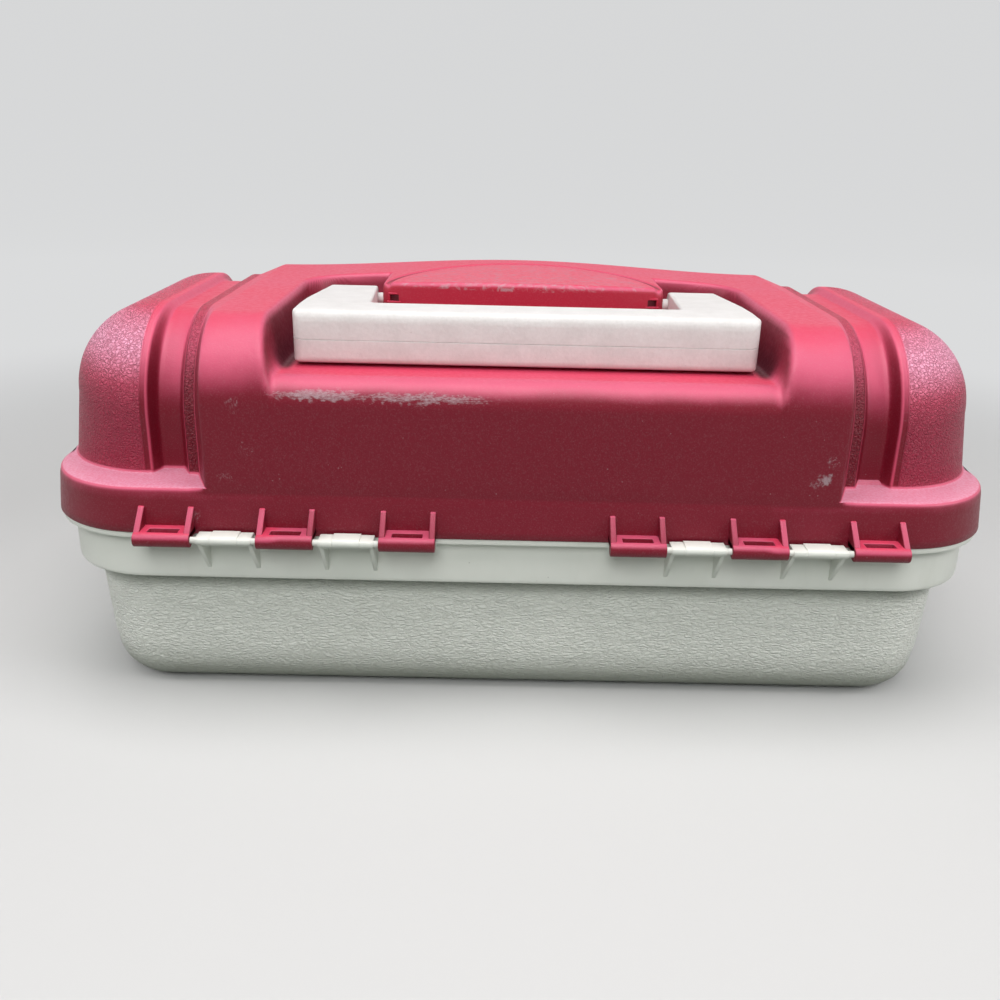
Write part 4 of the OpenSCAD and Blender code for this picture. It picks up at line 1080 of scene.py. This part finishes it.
def makeCamera():
    yaw, down, roll = (math.radians(cameraView[k]) for k in ("yaw", "down", "roll"))
    forward = Vector((-math.sin(yaw) * math.cos(down), -math.cos(yaw) * math.cos(down), -math.sin(down)))
    level = Vector((-math.cos(yaw), math.sin(yaw), 0))
    up = level.cross(forward)
    right = math.cos(roll) * level + math.sin(roll) * up
    top = -math.sin(roll) * level + math.cos(roll) * up
    data = bpy.data.cameras.new("photoCamera")
    data.lens, data.sensor_width = cameraView["focal"], cameraView["sensor"]
    data.clip_start, data.clip_end = cameraView["clip"]
    cam = linked("photoCamera", data)
    turn = Matrix((right, top, -forward)).transposed().to_4x4()
    cam.matrix_world = Matrix.Translation(cameraView["place"]) @ turn
    bpy.context.scene.camera = cam


makeCamera()
print("camera made")

studio = {
    "floorColour": (0.60, 0.60, 0.60, 1), "floorBounce": (0.22, 0.24, 0.22, 1),
    "farColour": (0.66, 0.665, 0.67, 1), "farMiddle": (0, -0.55, 0), "farNear": (0.50, 0.05),
    "farOut": (0.36, 0.90), "rough": 0.85, "sweepStart": 1.7, "sweepRadius": 1.4, "sweepTop": 4.0,
    "sweepTurns": 96, "worldSeen": (0.86, 0.87, 0.88, 1), "worldLight": (0.90, 0.95, 1.0, 1),
    "worldStrength": 0.15}
# Each lamp: where it stands, what it aims at, its size, its watts and its colour
lamps = {
    "skyLamp": ((0.05, 0.25, 1.25), (0.0, 0.05, 0.1), 1.0, 12.2, (1.0, 0.98, 0.97)),
    "leftLamp": ((1.25, 0.35, 0.85), (0.1, 0.0, 0.08), 0.7, 5.0, (1.0, 0.98, 0.98)),
    "rightLamp": ((-1.25, 0.45, 0.85), (-0.1, 0.0, 0.08), 0.7, 8.5, (1.0, 0.98, 0.98)),
    "frontLamp": ((0.1, 1.25, 0.95), (0.0, 0.1, 0.05), 0.55, 9.0, (0.98, 1.0, 0.98))}


def seenOrLit():
    # 1 for rays that see the surface, straight or by gloss and glass, and 0 for the light that it gives
    path = addNode("ShaderNodeLightPath")
    return largest(*[path.outputs[f"Is {kind} Ray"] for kind in ("Camera", "Glossy", "Transmission")])


def makeFloor():
    mesh = bmesh.new()
    radius, start = studio["sweepRadius"], studio["sweepStart"]
    profile = [(0.0, 0.0)] + [(start * k / 6, 0.0) for k in range(1, 7)]
    profile += [(start + radius * math.sin(a), radius * (1 - math.cos(a)))
                for a in (quarterTurn * k / 24 for k in range(1, 25))] + [(start + radius, studio["sweepTop"])]
    points = [mesh.verts.new((reach, 0, height)) for reach, height in profile]
    edges = [mesh.edges.new(pair) for pair in zip(points, points[1:])]
    bmesh.ops.spin(mesh, geom=points + edges, cent=(0, 0, 0), axis=(0, 0, 1), angle=math.tau,
                   steps=studio["sweepTurns"], use_merge=True)
    bmesh.ops.remove_doubles(mesh, verts=mesh.verts, dist=0.0001)
    bmesh.ops.recalc_face_normals(mesh, faces=mesh.faces)
    if next(iter(mesh.faces)).normal.z < 0:
        bmesh.ops.reverse_faces(mesh, faces=mesh.faces)
    floor = linked("studioFloor", meshData(mesh, "studioFloor"))
    floor.data.shade_smooth()
    mat, shader = newMaterial("studioFloor")
    # The far floor and the sweep round it are seen as one even pale tone
    seen, coords = seenOrLit(), objectCoords()
    away = vectorMath("DISTANCE", coords, studio["farMiddle"], "Value")
    out = vectorMath("LENGTH", coords, out="Value")
    far = largest(mapRange(away, *studio["farNear"]), mapRange(out, *studio["farOut"]))
    near = mixColour(far, studio["floorColour"], (0, 0, 0, 1))
    setInputs(shader, {"Base Color": mixColour(seen, studio["floorBounce"], near),
                       "Emission Color": studio["farColour"], "Emission Strength": product(seen, far),
                       "Roughness": studio["rough"]})
    floor.data.materials.append(mat)


def makeLamp(name, place, aim, size, watts, colour):
    data = bpy.data.lights.new(name, "AREA")
    data.energy, data.size, data.color = watts, size, colour
    lamp = linked(name, data)
    lamp.location = place
    lamp.rotation_mode = "QUATERNION"
    lamp.rotation_quaternion = (Vector(place) - Vector(aim)).to_track_quat("Z", "Y")
    lamp.visible_glossy = name != "frontLamp"    # the fill from the front leaves no shine on the walls


def makeStudio():
    makeFloor()
    world = bpy.data.worlds.new("studioWorld")
    bpy.context.scene.world = world
    back = startNodes(world, "Background")
    seen = seenOrLit()
    setInputs(back, {
        "Color": mixColour(seen, studio["worldLight"], studio["worldSeen"]),
        "Strength": mapRange(seen, 0.0, 1.0, studio["worldStrength"], 1.0, False)})
    for name, settings in lamps.items():
        makeLamp(name, *settings)
    bpy.context.scene.view_settings.view_transform = "Standard"


makeStudio()
print("studio made")
